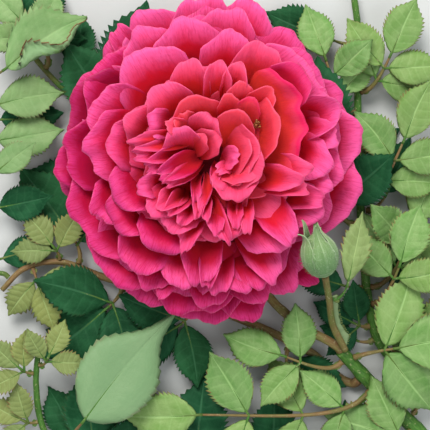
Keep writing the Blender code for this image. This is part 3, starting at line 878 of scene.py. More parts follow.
def petal(
    where,
    tip,
    root,
    half,
    lift=0.0,
    slope=15,
    curl=36,
    roll=3.5,
    cup=(0.35, 0.1),
    wrap=0.05,
    blunt=0.27,
    power=2.8,
    ruffle=0.9,
    crimp=0.16,
    frill=1.0,
    tilt=0.0,
    sway=0.0,
    point=0.0,
    side_fold=0.0,
    warm=0.0,
    shade=0.0,
    deep=None,
):
    """One petal: a sheet on a spine from root to tip, with a rounded rim that turns over.

    tip and root are squares of the layout grid. half is half its width and lift what its rim stands
    above the dome, in millimetres. slope is the spine's climb at the rim and curl how far the rim
    turns over, in degrees, over the last roll millimetres. deep is the height of its root. cup is how
    much its sides rise, near the root and at the rim. blunt and power round off the corners of the
    rim. ruffle, crimp and frill are its waves, from wide to fine.
    """
    tip_at = spot(*tip, 44.0)
    high = dome(math.hypot(tip_at.x - AXIS.x, tip_at.y - AXIS.y)) + lift
    low = high - PETAL_DEPTH if deep is None else deep
    tip_at = np.array(spot(*tip, high))
    root_at = np.array(spot(*root, low))
    way = tip_at - root_at
    reach = math.hypot(way[0], way[1])
    out = np.array((way[0] / reach, way[1] / reach, 0))
    side = np.array((out[1], -out[0], 0))
    lean = math.radians(slope)
    pull = 0.4 * max(reach, 0.5 * abs(high - low))
    r = (0.0, PETAL_BELLY[0] * reach, reach - pull * math.cos(lean), reach)
    z = (low, low + PETAL_BELLY[1] * (high - low), high - pull * math.sin(lean), high)
    v = np.linspace(0, 1, PETAL_ROWS + 1)[:, None]
    u = np.linspace(-1, 1, 2 * round(6 + half * 0.45) + 1)[None, :]
    phase = luck.uniform(0, 2 * math.pi)
    pace = luck.uniform(2.2, 3.6)
    rim = 1 - blunt * np.abs(u) ** power
    rim = rim + 0.03 * np.sin(pace * 1.7 * u + phase)
    rim = rim + frill * (0.014 * np.sin(8 * u + 2 * phase) + 0.006 * np.sin(21 * u + 5 * phase))
    rim = rim + point * np.clip(1 - np.abs(u) * 3.5, 0, 1) ** 1.5
    s = v * rim
    spine = reach + abs(high - low) * 0.6
    start = 1 - roll / spine
    held = np.minimum(s, start)
    excess = np.maximum(s - start, 0) * spine
    forward = bezier(*r, held)
    height = bezier(*z, held)
    run = bezier_pace(*r, held)
    climb = bezier_pace(*z, held)
    length = np.maximum(np.hypot(run, climb), 1e-6)
    run, climb = run / length, climb / length
    turned = math.radians(curl)
    go, drop = hook(excess, roll / turned, turned)
    width = half * (0.24 + 0.76 * np.sin(np.minimum(1, v / 0.72) * np.pi / 2))
    x = u * width
    bowl = (cup[0] * (1 - v) + cup[1] * v) * width * u * u
    if side_fold:
        hand = math.copysign(1, side_fold)
        past = np.maximum(hand * u - 0.45, 0) * width
        ahead, fall = hook(past, 1.6, math.radians(abs(side_fold)))
        x = np.where(hand * u > 0.45, hand * (0.45 * width + ahead), x)
        bowl = bowl + fall
    crease = luck.uniform(-0.5, 0.5)
    wavy = ruffle * (np.sin(pace * u + phase) * v**2 + 0.45 * np.sin(2.4 * pace * u + 1.7 * phase) * v**3)
    wavy = wavy - 0.5 * np.exp(-(((u - crease) / 0.16) ** 2)) * v
    wavy = wavy + crimp * np.sin(11 * u + 3 * phase) * smoothstep(0.6, 1.0, s)
    lifted = bowl + wavy + tilt * u * v - drop
    forward = forward + run * go - climb * lifted - wrap * half * u * u * v
    height = height + climb * go + run * lifted
    x = x + sway * np.sin(np.pi * v)
    rows = root_at + forward[..., None] * out + x[..., None] * side
    rows[..., 2] = height
    seed = luck.uniform(0, 60)
    from_rim = (rim - s) * spine / RIM_SPAN
    heat = warm + luck.uniform(-0.06, 0.06)
    # More painted shade toward the lower left of the bloom, away from the light. The given shade is
    # painted shade too, partly the petal's own deeper crimson.
    lower_left = (AXIS.x - tip_at[0]) + (AXIS.y - tip_at[1])
    dark = shade + 0.32 * smoothstep(-10, 45, lower_left) + luck.uniform(-0.05, 0.05)
    grain = grain_of(u * half / 12, 1 - from_rim, seed)
    petals[where].blade(rows, PETAL_THICK - 0.2 * s, grain, (0.0, max(heat, 0), max(dark, 0)))


def round_bloom(angle, distance):
    """The square of the layout grid at an angle round the bloom and a distance from its middle."""
    across, down = BLOOM_PLACE
    return across + math.cos(angle) * distance / UNIT, down - math.sin(angle) * distance / UNIT


def ring_of_petals(where, count, distance, foot, half, high, low, turn, **more):
    """A whorl laid by rule, for the layers that show little from above.

    Its rims lie at a distance from the axis and at the height high, its roots at foot and low.
    """
    for k in range(count):
        angle = 2 * math.pi * (k + turn + luck.uniform(-0.15, 0.15)) / count
        reach = distance * luck.uniform(0.95, 1.03)
        tip = round_bloom(angle, reach)
        root = round_bloom(angle, foot)
        lift = high - dome(reach) + luck.uniform(-1, 1)
        petal(where, tip, root, half * luck.uniform(0.9, 1.1), lift, deep=low, **more)


def outer_petals():
    """Three whorls under the bloom, then the wide petals round it, from the top by the left."""
    ring_of_petals("outer", 9, 51, 4, 21, 20, 18.5, 0.1, shade=0.6, ruffle=1.2)
    ring_of_petals("outer", 10, 53, 6, 20, 25, 21, 0.45, shade=0.5, ruffle=1.2)
    ring_of_petals("outer", 10, 50, 10, 18, 31, 25, 0.3, shade=0.4, ruffle=1.2)
    put = partial(petal, "outer")
    put((204, -3), (207, 80), 13, -2, shade=0.15)
    put((251, 2), (228, 80), 12, -1)
    put((139, 14), (185, 85), 13, -2)
    put((114, 29), (165, 95), 6.5, -1, side_fold=-70, shade=0.5)
    put((101, 62), (165, 120), 18, -2, shade=1.0, blunt=0.2)
    put((72, 103), (150, 135), 17, -1, shade=1.15, blunt=0.2)
    put((57, 166), (135, 163), 13, 0, shade=1.0)
    put((66, 150), (140, 158), 14, 1, shade=0.95)
    put((77, 222), (150, 190), 19, -1, shade=0.7, blunt=0.2)
    put((113, 280), (165, 205), 20, 0, shade=0.7, wrap=0.1)
    put((137, 298), (180, 215), 17, -3, shade=0.6, blunt=0.2)
    put((186, 313), (200, 220), 18, 0, shade=0.8)
    put((206, 322), (208, 230), 15, -3, shade=0.8)
    put((249, 319), (225, 225), 12.5, -1, shade=0.8)
    put((288, 291), (240, 210), 11, -1, shade=0.45)
    put((315, 277), (262, 222), 11, -5.5, shade=1.15, point=0.06, curl=10)
    put((357, 196), (285, 178), 17, -1, shade=0.25)
    put((360, 142), (285, 142), 14, -1, shade=0.05)
    put((314, 74), (255, 120), 19, -2, shade=0.05, blunt=0.2)
    put((335, 106), (280, 130), 12, -2, shade=0.1)
    put((137, 31), (180, 95), 11, 1)


def middle_petals():
    """Two whorls, then the petals between the wide ones and the middle, from the top by the left."""
    ring_of_petals("middle", 8, 36, 12, 14, 31, 25, 0.2, shade=0.3, warm=0.2)
    ring_of_petals("middle", 7, 26, 10, 12, 35, 28, 0.4, shade=0.2, warm=0.5)
    put = partial(petal, "middle")
    put((183, 20), (200, 100), 13.5, 0, warm=0.05)
    put((228, 9), (222, 80), 11, -1)
    put((232, 33), (223, 100), 10.5, 1, warm=0.1)
    put((263, 44), (246, 112), 10, 1.5, warm=0.4, blunt=0.35, frill=0.6)
    put((138, 52), (180, 125), 14.5, 0.5)
    put((93, 106), (155, 135), 12.5, 1, shade=0.2)
    put((88, 150), (155, 142), 13, 2.5, shade=0.2, point=0.03, tilt=1.5)
    put((98, 215), (140, 178), 9, 1, shade=0.5)
    put((116, 196), (158, 176), 9.5, 2, curl=110, roll=6, shade=0.45)
    put((112, 221), (155, 200), 9, 2.5, curl=150, roll=7, shade=0.5)
    put((136, 270), (166, 212), 11, 1, shade=0.45, ruffle=1.6, crimp=0.4)
    put((160, 252), (176, 205), 11, 2, curl=110, roll=5, shade=0.6)
    put((150, 288), (168, 230), 8, -1, shade=0.55)
    put((161, 295), (180, 255), 4.5, -1, shade=0.5, point=0.04)
    put((181, 286), (190, 222), 8.2, 2, blunt=0.2, power=4, shade=0.1, curl=30)
    put((199, 283), (205, 212), 7.5, 1.5, cup=(0.5, 0.3), shade=0.2)
    put((207, 285), (213, 235), 4, 1, shade=0.35, cup=(0.6, 0.4))
    put((217, 292), (219, 235), 6, 0.5, shade=0.2)
    put((246, 290), (220, 230), 8, 0, shade=0.35)
    put((263, 285), (238, 230), 8.5, 0.5, shade=0.5)
    put((276, 280), (234, 205), 6.5, 3, shade=0.1, cup=(0.5, 0.2))
    put((208, 305), (209, 250), 9, -1, shade=0.7, blunt=0.32, frill=0.6)
    put((262, 299), (232, 250), 9, -1, shade=0.6)
    put((284, 248), (240, 192), 11, 2, shade=0.15)
    put((292, 241), (252, 184), 6.3, 4.5, shade=0.2, cup=(0.5, 0.3))
    put((320, 214), (265, 192), 9, 2, shade=0.25)
    put((329, 186), (270, 172), 8.5, 1.5, shade=0.1)
    put((340, 175), (292, 165), 9.5, -0.5, shade=0.25)
    put((328, 170), (275, 138), 8.2, 3)
    put((335, 140), (288, 130), 6.5, 1, shade=0.1)
    put((338, 108), (292, 124), 8, 3, cup=(0.9, 0.9), shade=0.2, curl=30)


def inner_petals():
    """The narrow, crimped and infolded petals of the quartered middle."""
    put = partial(petal, "inner", crimp=0.28, frill=2.2)
    soft = partial(petal, "inner", crimp=0.2, frill=1.2)
    even = partial(petal, "inner", crimp=0.1, frill=0.6)
    put(
        (302, 116), (248, 128), 19, 3.5, slope=28, curl=10,
        warm=1.0, shade=0.45, crimp=1.3, cup=(0.25, 0.1), deep=36,
    )
    even((300, 74), (262, 108), 9, 5, slope=50, curl=90, roll=6, warm=0.7, shade=0.9)
    even((276, 126), (252, 132), 11, 3, slope=55, curl=60, warm=0.75, sway=2, tilt=2, deep=36, blunt=0.35)
    even((241, 84), (238, 126), 5, 1, slope=25, warm=0.8, blunt=0.22)
    even((252, 100), (240, 134), 4.5, 1, slope=35, warm=0.9, blunt=0.22)
    even((229, 97), (228, 132), 4.2, 0.5, slope=35, warm=0.9, blunt=0.22)
    even((270, 91), (243, 122), 5, 2, slope=30, warm=0.8, cup=(0.6, 0.5), blunt=0.22)
    even((188, 61), (193, 118), 7.2, 2, slope=8, curl=60, warm=0.45, blunt=0.32)
    even((219, 62), (216, 118), 5.0, 2.4, slope=12, curl=70, warm=0.5, blunt=0.2, cup=(0.9, 0.8))
    even((239, 64), (228, 112), 4.6, 2.8, slope=25, curl=80, warm=0.55, blunt=0.2, cup=(0.9, 0.8))
    even((157, 88), (186, 132), 9.5, 1.5, slope=5, curl=50, warm=0.35, blunt=0.35)
    even((128, 118), (162, 140), 8, 1.5, slope=15, curl=40, warm=0.4, blunt=0.35)
    even((110, 141), (152, 150), 9.5, 1, slope=5, curl=60, warm=0.2, shade=0.2)
    # Upper left quarter
    even((192, 99), (202, 136), 10.5, 1.5, slope=35, curl=25, warm=0.85, power=2.4, blunt=0.4)
    put((149, 124), (178, 125), 5.6, 3, slope=10, curl=150, roll=5, warm=0.1)
    even((210, 117), (197, 146), 6.6, 1.8, slope=25, curl=120, roll=3.5, warm=0.55, blunt=0.3)
    put((180, 118), (198, 138), 5, 0.5, slope=40, curl=60, warm=0.8)
    put((170, 125), (194, 138), 4, 1.5, slope=20, curl=60, warm=0.7)
    even((218, 137), (192, 152), 5.6, 1.6, slope=35, curl=120, roll=3, warm=0.6, blunt=0.3)
    even((203, 137), (188, 154), 4.4, 1.2, slope=40, curl=90, roll=2.5, warm=0.6)
    even((176, 131), (184, 153), 7.2, 2.4, slope=10, curl=100, roll=3, warm=0.35, blunt=0.35)
    put((131, 143), (198, 139), 3.8, 4, slope=0, curl=50, warm=0.35, cup=(0.7, 0.5))
    put((136, 155), (190, 149), 4.3, 2.5, slope=0, curl=50, warm=0.3, cup=(0.6, 0.4))
    put((149, 168), (194, 152), 4.6, 1.2, slope=5, curl=50, warm=0.3, shade=0.3, cup=(0.6, 0.4))
    put((162, 176), (203, 155), 4.4, 2.6, slope=10, curl=60, warm=0.2, shade=0.6, cup=(0.6, 0.4))
    put((168, 183), (203, 163), 3.2, 2.0, slope=10, curl=40, warm=0.4, shade=0.2)
    # Lower left quarter
    put((141, 186), (168, 184), 4.8, 3, slope=10, curl=150, roll=5, warm=0.1)
    soft((151, 212), (184, 186), 6.4, 2.2, slope=10, ruffle=1.2, warm=0.3)
    soft((160, 206), (186, 188), 4.4, 2.8, slope=15, ruffle=1.0, warm=0.4, cup=(0.7, 0.5))
    soft((172, 229), (192, 198), 7, 1.5, slope=5, warm=0.35)
    put((170, 211), (188, 192), 3.8, 3, slope=10, warm=0.45, shade=0.2, frill=1.2, cup=(0.7, 0.5))
    put((181, 222), (195, 198), 3.8, 2.2, slope=10, warm=0.4, shade=0.2, frill=1.2, cup=(0.7, 0.5))
    put((201, 212), (205, 172), 2.0, 0.2, slope=20, sway=-1.5, warm=0.4, cup=(1.0, 0.8))
    put((194, 201), (203, 172), 2.0, -0.9, slope=20, sway=1.5, warm=0.35, cup=(1.0, 0.8), shade=0.3)
    put((215, 182), (218, 158), 2.2, -1.5, slope=35, warm=0.3, shade=0.5, crimp=0.4)
    put((196, 216), (201, 188), 2.0, 2, slope=15, warm=0.4, cup=(1.0, 0.8))
    put((207, 218), (206, 197), 2.2, 1.5, slope=20, warm=0.4, cup=(1.0, 0.8), shade=0.2)
    put((184, 247), (200, 206), 4, 1.8, slope=0, warm=0.35, point=0.08, cup=(0.7, 0.5))
    put((228, 241), (205, 190), 3.2, 2.2, slope=0, warm=0.35, point=0.03, cup=(0.9, 0.7))
    put((229, 237), (226, 196), 5.5, 1.5, slope=5, warm=0.4, curl=90)
    put((216, 232), (214, 198), 3.6, 1.2, slope=5, warm=0.3, shade=0.2, cup=(0.7, 0.5))
    put((247, 231), (243, 192), 3.2, 2.5, slope=5, warm=0.4, cup=(0.8, 0.6))
    put((236, 226), (234, 194), 2.8, 1, slope=5, warm=0.4, shade=0.3, cup=(0.8, 0.6))
    # The button right of the eye, whorled on its own middle
    even((239, 113), (229, 150), 7, 3, slope=50, curl=30, warm=0.75, deep=36, sway=1)
    even((256, 150), (222, 152), 12, 3, slope=45, curl=30, warm=0.6, deep=36, blunt=0.5, power=2.2)
    even((259, 170), (228, 160), 10, 2, slope=40, curl=50, warm=0.5, deep=36)
    put((238, 197), (234, 166), 8, 1.5, slope=30, curl=70, warm=0.45, deep=37, crimp=0.2, frill=1.1)
    put((219, 187), (230, 170), 4.4, 1, slope=40, curl=80, warm=0.45, deep=37, crimp=0.25, frill=1.1)
    even((249, 148), (224, 152), 10, 2.2, slope=55, curl=30, warm=0.7, deep=37, blunt=0.5, power=2.2)
    even((253, 172), (230, 160), 8.0, 1.9, slope=45, curl=50, warm=0.5, deep=37)
    even((243, 176), (228, 160), 6.5, 0.6, slope=55, curl=40, warm=0.6, deep=37)
    put((236, 158), (222, 158), 4.5, 0.8, slope=55, curl=90, roll=2.5, warm=0.2, deep=38, crimp=0.5)
    put((220, 171), (230, 164), 2.8, 0.6, slope=50, curl=90, roll=2.5, warm=0.3, deep=38, crimp=0.5)
    # The stack right of the button
    stacked = partial(even, blunt=0.35)
    stacked((301, 180), (250, 176), 4.8, 4.2, slope=0, warm=0.4, cup=(0.8, 0.5))
    stacked((306, 190), (254, 180), 4.2, 3.2, slope=0, warm=0.4, cup=(0.8, 0.5))
    stacked((310, 169), (262, 167), 5.0, 4.4, slope=5, warm=0.3, cup=(0.7, 0.4))
    stacked((322, 200), (268, 190), 5.4, 3, slope=0, warm=0.2, shade=0.2, cup=(0.6, 0.4))


def filling_petals():
    """Low whorls that close the space between the inner petals and the bowls round them."""
    ring_of_petals("middle", 9, 31, 13, 11, 42, 32, 0.15, shade=0.1, warm=0.5)
    ring_of_petals("middle", 8, 24, 9, 9, 42.5, 32, 0.6, shade=0.1, warm=0.7)


def near_by(value, most):
    return value + luck.uniform(-most, most)


def stamens():
    """Small tufts of threads with swollen tips, seen down two of the folds."""
    radii = (0.16, 0.13, 0.3, 0.34)
    for place, foot, count in (((257, 124), (249, 130), 12), ((179, 117), (184, 128), 9)):
        for _ in range(count):
            tip = spot(near_by(place[0], 3), near_by(place[1], 4), 44.5 + luck.uniform(-1.5, 1.0))
            base = spot(near_by(foot[0], 2), near_by(foot[1], 2), 38)
            middle = (tip + base) / 2 + UP * 1.5
            end = tip + (tip - middle) * 0.12
            threads.tube([base, middle, tip, end], radii, 6, 0.0, (0, 0, 0))


def stamen_finish():
    """Dull yellow threads, browner to the tips."""
    finish = Finish("stamen", 0.6)
    _, along, _ = finish.note("grain")
    speck = finish.noise(finish.object_place(), 1800.0, 2.0)
    browner = (along.between(4.0, 9.0), (0.28, 0.12, 0.035))
    dusty = (speck.between(0.45, 0.65) * 0.5, (0.50, 0.27, 0.09))
    finish.set("Base Color", finish.coats((0.45, 0.10, 0.04), browner, dusty))
    return finish.material


CORE_PROFILE = (
    (0.0, 17.5), (5, 17.6), (8, 20.5), (24, 24), (32, 28),
    (31, 31), (25, 34), (17, 35.5), (8, 34.5), (0, 32.5),
)


def all_round(sides):
    return np.linspace(0, 2 * np.pi, sides + 1)[:-1]


def revolved(profile, turn, swell):
    """Points all round +Z from a profile of (radius, height) points, swelled by turn."""
    radius, height = np.array(profile, float).T[..., None]
    radius = radius * (1 + swell)
    return np.stack(np.broadcast_arrays(radius * np.cos(turn), radius * np.sin(turn), height), -1)


def bloom_core():
    """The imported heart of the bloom, below the inner petals."""
    turn = all_round(48)
    rows = revolved(CORE_PROFILE, turn, 0.04 * np.sin(9 * turn)) + CENTRE
    grain = np.zeros(rows.shape) + (0.3, 0.45, 5.0)
    # Its shade tone of 1.9 makes it near black: painted shade for the deep eye of the bloom.
    petals["inner"].grid(rows[::-1], grain, (0, 0.3, 1.9), wrap=True, flip=True)


outer_petals()
middle_petals()
inner_petals()
bloom_core()
filling_petals()
threads = Pile()
stamens()
threads.build("stamens", stamen_finish(), "petal_pink")
petals["outer"].build("outer_petals", petal_look, "petal_pink", ["bloom"])
petals["middle"].build("middle_petals", petal_look, "petal_pink")
petals["inner"].build("inner_petals", petal_look, "petal_pink")
remember("bloom")

# Stems, in the source's order

stems = Pile()
twigs = Pile()
remember("calyx")
cane_points = spots((452, 468, 3.4), (405, 418, 4.0), (362, 374, 7.0), (341, 351, 13.0))
cane = Limb("cane", cane_points, 3.3, 2.3, 0.0)
node, _, cane_heading = cane.at(1.0)
stalk_points = [
    node + cane_heading * GAP,
    node + cane_heading * 2.6,
    *spots((302, 326, 12), (272, 300, 9)),
    AXIS + Vector((9, -30, 4.6)),
    AXIS + Vector((2.2, -8, 3.0)),
    AXIS + Vector((0, -0.8, 5.0)),
    AXIS + UP * (HIP_FOOT - GAP),
]
Limb("bloom_stalk", stalk_points, 1.7, 1.7, 0.75)
bud_base = spot(325, 276, 40)
bud_heading = (spot(311, 222, 47) - bud_base).normalized()
bud_points = [
    node + Vector((1.3, 0.6, 3.1)),
    *spots((333, 325, 23), (329, 298, 33)),
    bud_base - bud_heading * GAP,
]
bud_stalk = Limb("bud_stalk", bud_points, 1.3, 1.2, 0.7)
remember("bud")


def shoot(name, limb, share, points, thick, thin, russet=0.0):
    """A side shoot that starts beside a limb."""
    place, radius, heading = limb.at(share)
    out = square_to(points[0] - place, heading)
    start = place + out * (radius + GAP)
    return Limb(name, [start, start + out * 2 * thick] + points, thick, thin, russet)


right_points = spots((376, 335, 4), (362, 230, 4), (358, 120, 4), (357, 20, 5), (352, -15, 6))
right_shoot = shoot("right_shoot", cane, 0.525, right_points, 2.2, 1.1)
left_points = spots(
    (310, 352, 4), (205, 306, 3.6), (100, 276, 4), (60, 262, 5), (25, 268, 6), (2, 290, 5)
)
left_shoot = shoot("left_shoot", cane, 0.76, left_points, 1.9, 1.0, 0.85)
upper_points = spots((135, 215, 3.5), (86, 115, 4), (45, 70, 5), (5, 20, 6))
upper_left_shoot = shoot("upper_left_shoot", left_shoot, 0.585, upper_points, 1.5, 0.9, 0.5)
edge_points = spots((-17, 272, 6), (-25, 215, 6.5), (-26, 130, 7), (-21, 75, 8))
edge_shoot = shoot("edge_shoot", left_shoot, 0.965, edge_points, 1.0, 0.8, 0.5)
bottom_points = spots((350, 482, 3.4), (200, 494, 3.2), (90, 480, 3.6), (52, 458, 4))
bottom_shoot = shoot("bottom_shoot", cane, 0.18, bottom_points, 2.2, 1.5)
sprout_points = spots((47, 436, 6), (36, 385, 10), (38, 354, 14))
sprout_stem = shoot("sprout_stem", bottom_shoot, 0.96, sprout_points, 1.4, 1.1, 0.1)

# Leaves: limb, share of the way along it, where the end leaflet's tip lies, its length, pairs

leaves = {
    "leaf_right_low": (cane, 0.92, (498, 332, 20), 33, 1),
    "leaf_node_left": (cane, 0.945, (206, 328, 13), 24, 1),
    "leaf_bud": (bud_stalk, 0.7, (368, 198, 34), 28, 0),
    "leaf_right_petiole": (right_shoot, 0.25, (428, 192, 24), 24, 1),
    "leaf_right_edge": (right_shoot, 0.07, (470, 275, 13), 28, 2),
    "leaf_bottom": (cane, 0.68, (96, 418, 11), 29, 3),
    "leaf_cane_low": (cane, 0.34, (316, 416, 17), 28, 1),
    "leaf_front": (sprout_stem, 0.16, (178, 312, 40), 53, 0),
    "leaf_sprout_left": (sprout_stem, 0.84, (-14, 340, 19), 17, 1),
    "leaf_sprout_up": (sprout_stem, 0.92, (66, 316, 22), 15, 1),
    "leaf_sprout_low": (sprout_stem, 0.45, (-18, 400, 13), 20, 1),
    "leaf_arch_up": (left_shoot, 0.83, (20, 210, 13), 20, 1),
    "leaf_arch_low": (left_shoot, 0.9, (55, 335, 11), 19, 1),
    "leaf_upper_curled": (edge_shoot, 0.97, (97, 2, 21), 37, 0),
    "leaf_upper_pale": (edge_shoot, 0.86, (69, 90, 16), 26, 0),
    "leaf_upper_left": (edge_shoot, 0.7, (69, 127, 14), 27, 0),
    "leaf_upper_near": (edge_shoot, 0.5, (33, 141, 27), 19, 0),
    "leaf_upper_end": (upper_left_shoot, 0.8, (-30, -25, 14), 20, 1),
    "leaf_behind_left": (left_shoot, 0.785, (10, 155, 7), 40, 1),
    "leaf_behind_top": (upper_left_shoot, 0.53, (150, -15, 8), 42, 1),
    "leaf_behind_low": (left_shoot, 0.475, (110, 372, 7), 38, 1),
    "leaf_top_right": (right_shoot, 0.75, (425, -18, 14), 24, 2),
    "leaf_top_left": (right_shoot, 0.7, (300, -14, 12), 22, 2),
    "leaf_right_high": (right_shoot, 0.5, (440, 62, 16), 25, 2),
    "leaf_right_mid": (right_shoot, 0.29, (455, 135, 11), 28, 2),
    "leaf_behind_right": (right_shoot, 0.44, (310, 25, 8), 36, 2),
    "leaf_behind_foot": (left_shoot, 0.215, (262, 440, 6), 36, 1),
    "leaf_behind_bud": (right_shoot, 0.2, (310, 300, 8), 32, 1),
    "leaf_behind_edge": (right_shoot, 0.36, (440, 240, 7), 34, 1),
    "leaf_behind_sprout": (bottom_shoot, 0.88, (90, 360, 8), 36, 1),
    "leaf_behind_end": (upper_left_shoot, 0.9, (60, -25, 7), 34, 1),
    "leaf_behind_arch": (left_shoot, 0.66, (30, 365, 6), 36, 1),
    "leaf_below_high": (right_shoot, 0.86, (258, 8, 6), 38, 0),
    "leaf_below_side": (right_shoot, 0.47, (432, 100, 6), 38, 0),
    "leaf_below_right": (right_shoot, 0.12, (432, 300, 6), 36, 0),
    "leaf_below_upper": (edge_shoot, 0.8, (70, 112, 5), 38, 0),
    "leaf_below_left": (edge_shoot, 0.4, (62, 195, 5), 38, 0),
    "leaf_below_edge": (edge_shoot, 0.15, (60, 245, 5), 34, 0),
    "leaf_below_foot": (bottom_shoot, 0.62, (205, 365, 5), 40, 0),
    "leaf_below_middle": (bottom_shoot, 0.42, (275, 385, 5), 38, 0),
    "leaf_below_low": (bottom_shoot, 0.2, (345, 395, 5), 34, 0),
    "leaf_below_corner": (upper_left_shoot, 0.7, (82, 6, 6), 32, 0),
    "leaf_below_end": (cane, 0.4, (432, 345, 5), 34, 0),
    "leaf_below_sprout": (bottom_shoot, 0.94, (28, 352, 5), 38, 0),
    "leaf_below_stalk": (right_shoot, 0.17, (298, 318, 5), 32, 0),
    "leaf_below_far": (upper_left_shoot, 0.3, (12, 166, 5), 38, 0),
    "leaf_below_bud": (right_shoot, 0.29, (288, 268, 6), 36, 0),
}
young = (
    "leaf_sprout_left", "leaf_sprout_up", "leaf_sprout_low", "leaf_bud", "leaf_arch_low", "leaf_arch_up"
)


def kind_of(name):
    if name in young:
        return "young"
    # Leaves behind and below take the deep finish, with painted shade.
    return "deep" if name.startswith(("leaf_behind", "leaf_below")) else "near"


def tone_of(name):
    """How much a leaf shows of its pale back, of young colour and of shade."""
    if name == "leaf_front":
        return 0.95, 0, 0.75
    if name.startswith("leaf_upper"):
        return 0.45, 0.1, 0.1
    if name.startswith(("leaf_sprout", "leaf_arch")):
        return 0, 0.8, 0.4
    return 0, 0.1, 0.1


foliage = {"near": Pile(), "deep": Pile(), "young": Pile()}
replaced = {"near": [], "deep": [], "young": []}
for name, (limb, share, tip, size, pairs) in leaves.items():
    kind = kind_of(name)
    Leaf(name, limb, share, spot(*tip), size, pairs, foliage[kind], tone_of(name))
    replaced[kind].append(name)


def stalk_wing(pile, limb, first, last, count):
    """The fringed wing that runs up the right side of a stalk, into the narrow leaf beside the bud."""
    share = np.linspace(first, last, 40)
    sections = [limb.at(k) for k in share]
    spine = np.array([tuple(place) for place, _, _ in sections])
    radius = np.array([r for _, r, _ in sections])
    ahead = np.array([tuple(heading) for _, _, heading in sections])
    side = unit(np.cross(ahead, (0, 0, 1)))
    side = side * np.sign(side[:, :1])
    wide = 1.9 + 1.3 * np.exp(-(((share - first) / 0.16) ** 2)) + 0.5 * (share / last) ** 4
    wide = wide * (1 + 0.06 * np.sin(share * 55)) * smoothstep(first - 0.03, first + 0.1, share)
    u = np.linspace(0, 1, 5)[None, :]
    reach = 0.7 * radius[:, None] + u * wide[:, None]
    rows = spine[:, None] + side[:, None] * reach[..., None]
    rows[..., 2] += 0.5 * np.sin(u * 2.6) - 0.4
    pile.blade(rows[:, ::-1], 0.3, grain_of(0.35 + 0 * u, share[:, None], 3.0), (0, 0.25, 0.0))
    wild = random.Random(WING_SEED)
    for _ in range(count):
        k = wild.uniform(0, len(share) - 2)
        edge = rows[int(k), -1] * (1 - k % 1) + rows[int(k) + 1, -1] * (k % 1)
        out = side[int(k)] + ahead[int(k)] * wild.uniform(-0.5, 0.5)
        tip = edge + unit(out[None])[0] * wild.uniform(0.5, 1.0)
        pile.tube(np.array([edge, (edge + tip) / 2, tip]), (0.08, 0.06, 0.11), 4, 3.0, (0, 0.6, 0))


stalk_wing(foliage["young"], bud_stalk, 0.05, 0.74, 90)
foliage["near"].build("near_leaves", near_leaf, "leaf_green", replaced["near"])
foliage["deep"].build("deep_leaves_painted_shade", deep_leaf_painted_shade, "leaf_green", replaced["deep"])
foliage["young"].build("young_leaves", young_leaf, "leaf_young", replaced["young"])
stems.build("stems", stem_look, "cane_green", stem_nodes)
twigs.build("leaf_stalks", stem_look, "stalk_russet")

# Calyx and bud


def turned(pile, profile, place, seed, shade, ribs):
    """A ribbed body of revolution about +Z, moved to its place."""
    turn = all_round(30)
    rows = place(revolved(profile, turn, ribs * np.cos(5 * turn)))
    share = np.linspace(0, 1, len(profile))[:, None]
    pile.grid(rows, grain_of(turn / 2 % 1 + 0.2, share, seed), (0, 0, shade), wrap=True)


def sepal(pile, place, angle, spine, widths, seed, cup, fringe):
    """A sepal on a spine of (radius, height) points, set round the axis at an angle."""
    share = np.linspace(0, 1, 25)
    knots = np.linspace(0, 1, len(spine))
    radius, height = [np.interp(share, knots, line) for line in np.array(spine, float).T]
    for _ in range(3):
        for line in (radius, height):
            line[1:-1] = (line[:-2] + 2 * line[1:-1] + line[2:]) / 4
    width = np.interp(share, np.linspace(0, 1, len(widths)), widths)
    width = width * (1 + fringe * np.sin(share * 38))
    u = np.linspace(-1, 1, 9)[None, :]
    x = u * width[:, None]
    r = radius[:, None] - cup * x * x / np.maximum(width.max(), 1)
    c, s = math.cos(angle), math.sin(angle)
    rows = np.stack(np.broadcast_arrays(r * c - x * s, r * s + x * c, height[:, None]), -1)
    pile.blade(place(rows[:, ::-1]), 0.4, grain_of(u, share[:, None], seed), (0, 0, 0))


def hairs(pile, place, count, wild, skin, length):
    """Short fine hairs standing out from an egg-shaped skin."""
    for _ in range(count):
        angle = wild.uniform(0, 2 * math.pi)
        radius, height = skin(wild.uniform(0.02, 0.98))
        out = np.array((math.cos(angle), math.sin(angle), wild.uniform(-0.1, 0.6)))
        root = np.array((radius * math.cos(angle), radius * math.sin(angle), height))
        tip = root + out / np.linalg.norm(out) * length * wild.uniform(0.5, 1.2)
        ends = place(np.array([root - out * 0.1, (root + tip) / 2, tip]))
        pile.tube(ends, (0.05, 0.035, 0.008), 3, 1.0, (0, 0, 0))


def level(rows):
    """Moves rows round +Z to the bloom's axis."""
    return rows + CENTRE


calyx = Pile()
hip = (
    (0, HIP_FOOT),
    (1.9, HIP_FOOT),
    (3.4, HIP_FOOT + 0.9),
    (4.9, HIP_FOOT + 2.6),
    (HIP_RADIUS, HIP_FOOT + 4.8),
    (HIP_RADIUS - 0.3, HIP_TOP - 1.6),
    (4.6, HIP_TOP - 0.4),
    (3.2, HIP_TOP),
    (0, HIP_TOP),
)
turned(calyx, hip, level, 3.0, 0.2, 0.02)
wild = random.Random(SEPAL_SEED)
widths = (2.6, 3.6, 3.4, 2.4, 1.3, 0.2)
for k in range(5):
    bend = wild.uniform(-0.5, 0.5)
    spine = [
        (2.5, 15.0), (7, 15.3), (13, 14.2), (19, 12.6), (25, 11.0 + bend), (SEPAL_LENGTH + 1.5, 9.6)
    ]
    sepal(calyx, level, 2 * math.pi * (k + 0.2) / 5, spine, widths, 7.0 + k, 0.12, 0.12)
calyx.build("calyx_and_hip", bud_look, "calyx_green", ["calyx"])

bud_turn = np.array(UP.rotation_difference(bud_heading).to_matrix())
bud_foot = np.array(bud_base)


def on_stalk(rows):
    """Moves rows round +Z to the bud, tilted as its stalk is."""
    return rows @ bud_turn.T + bud_foot


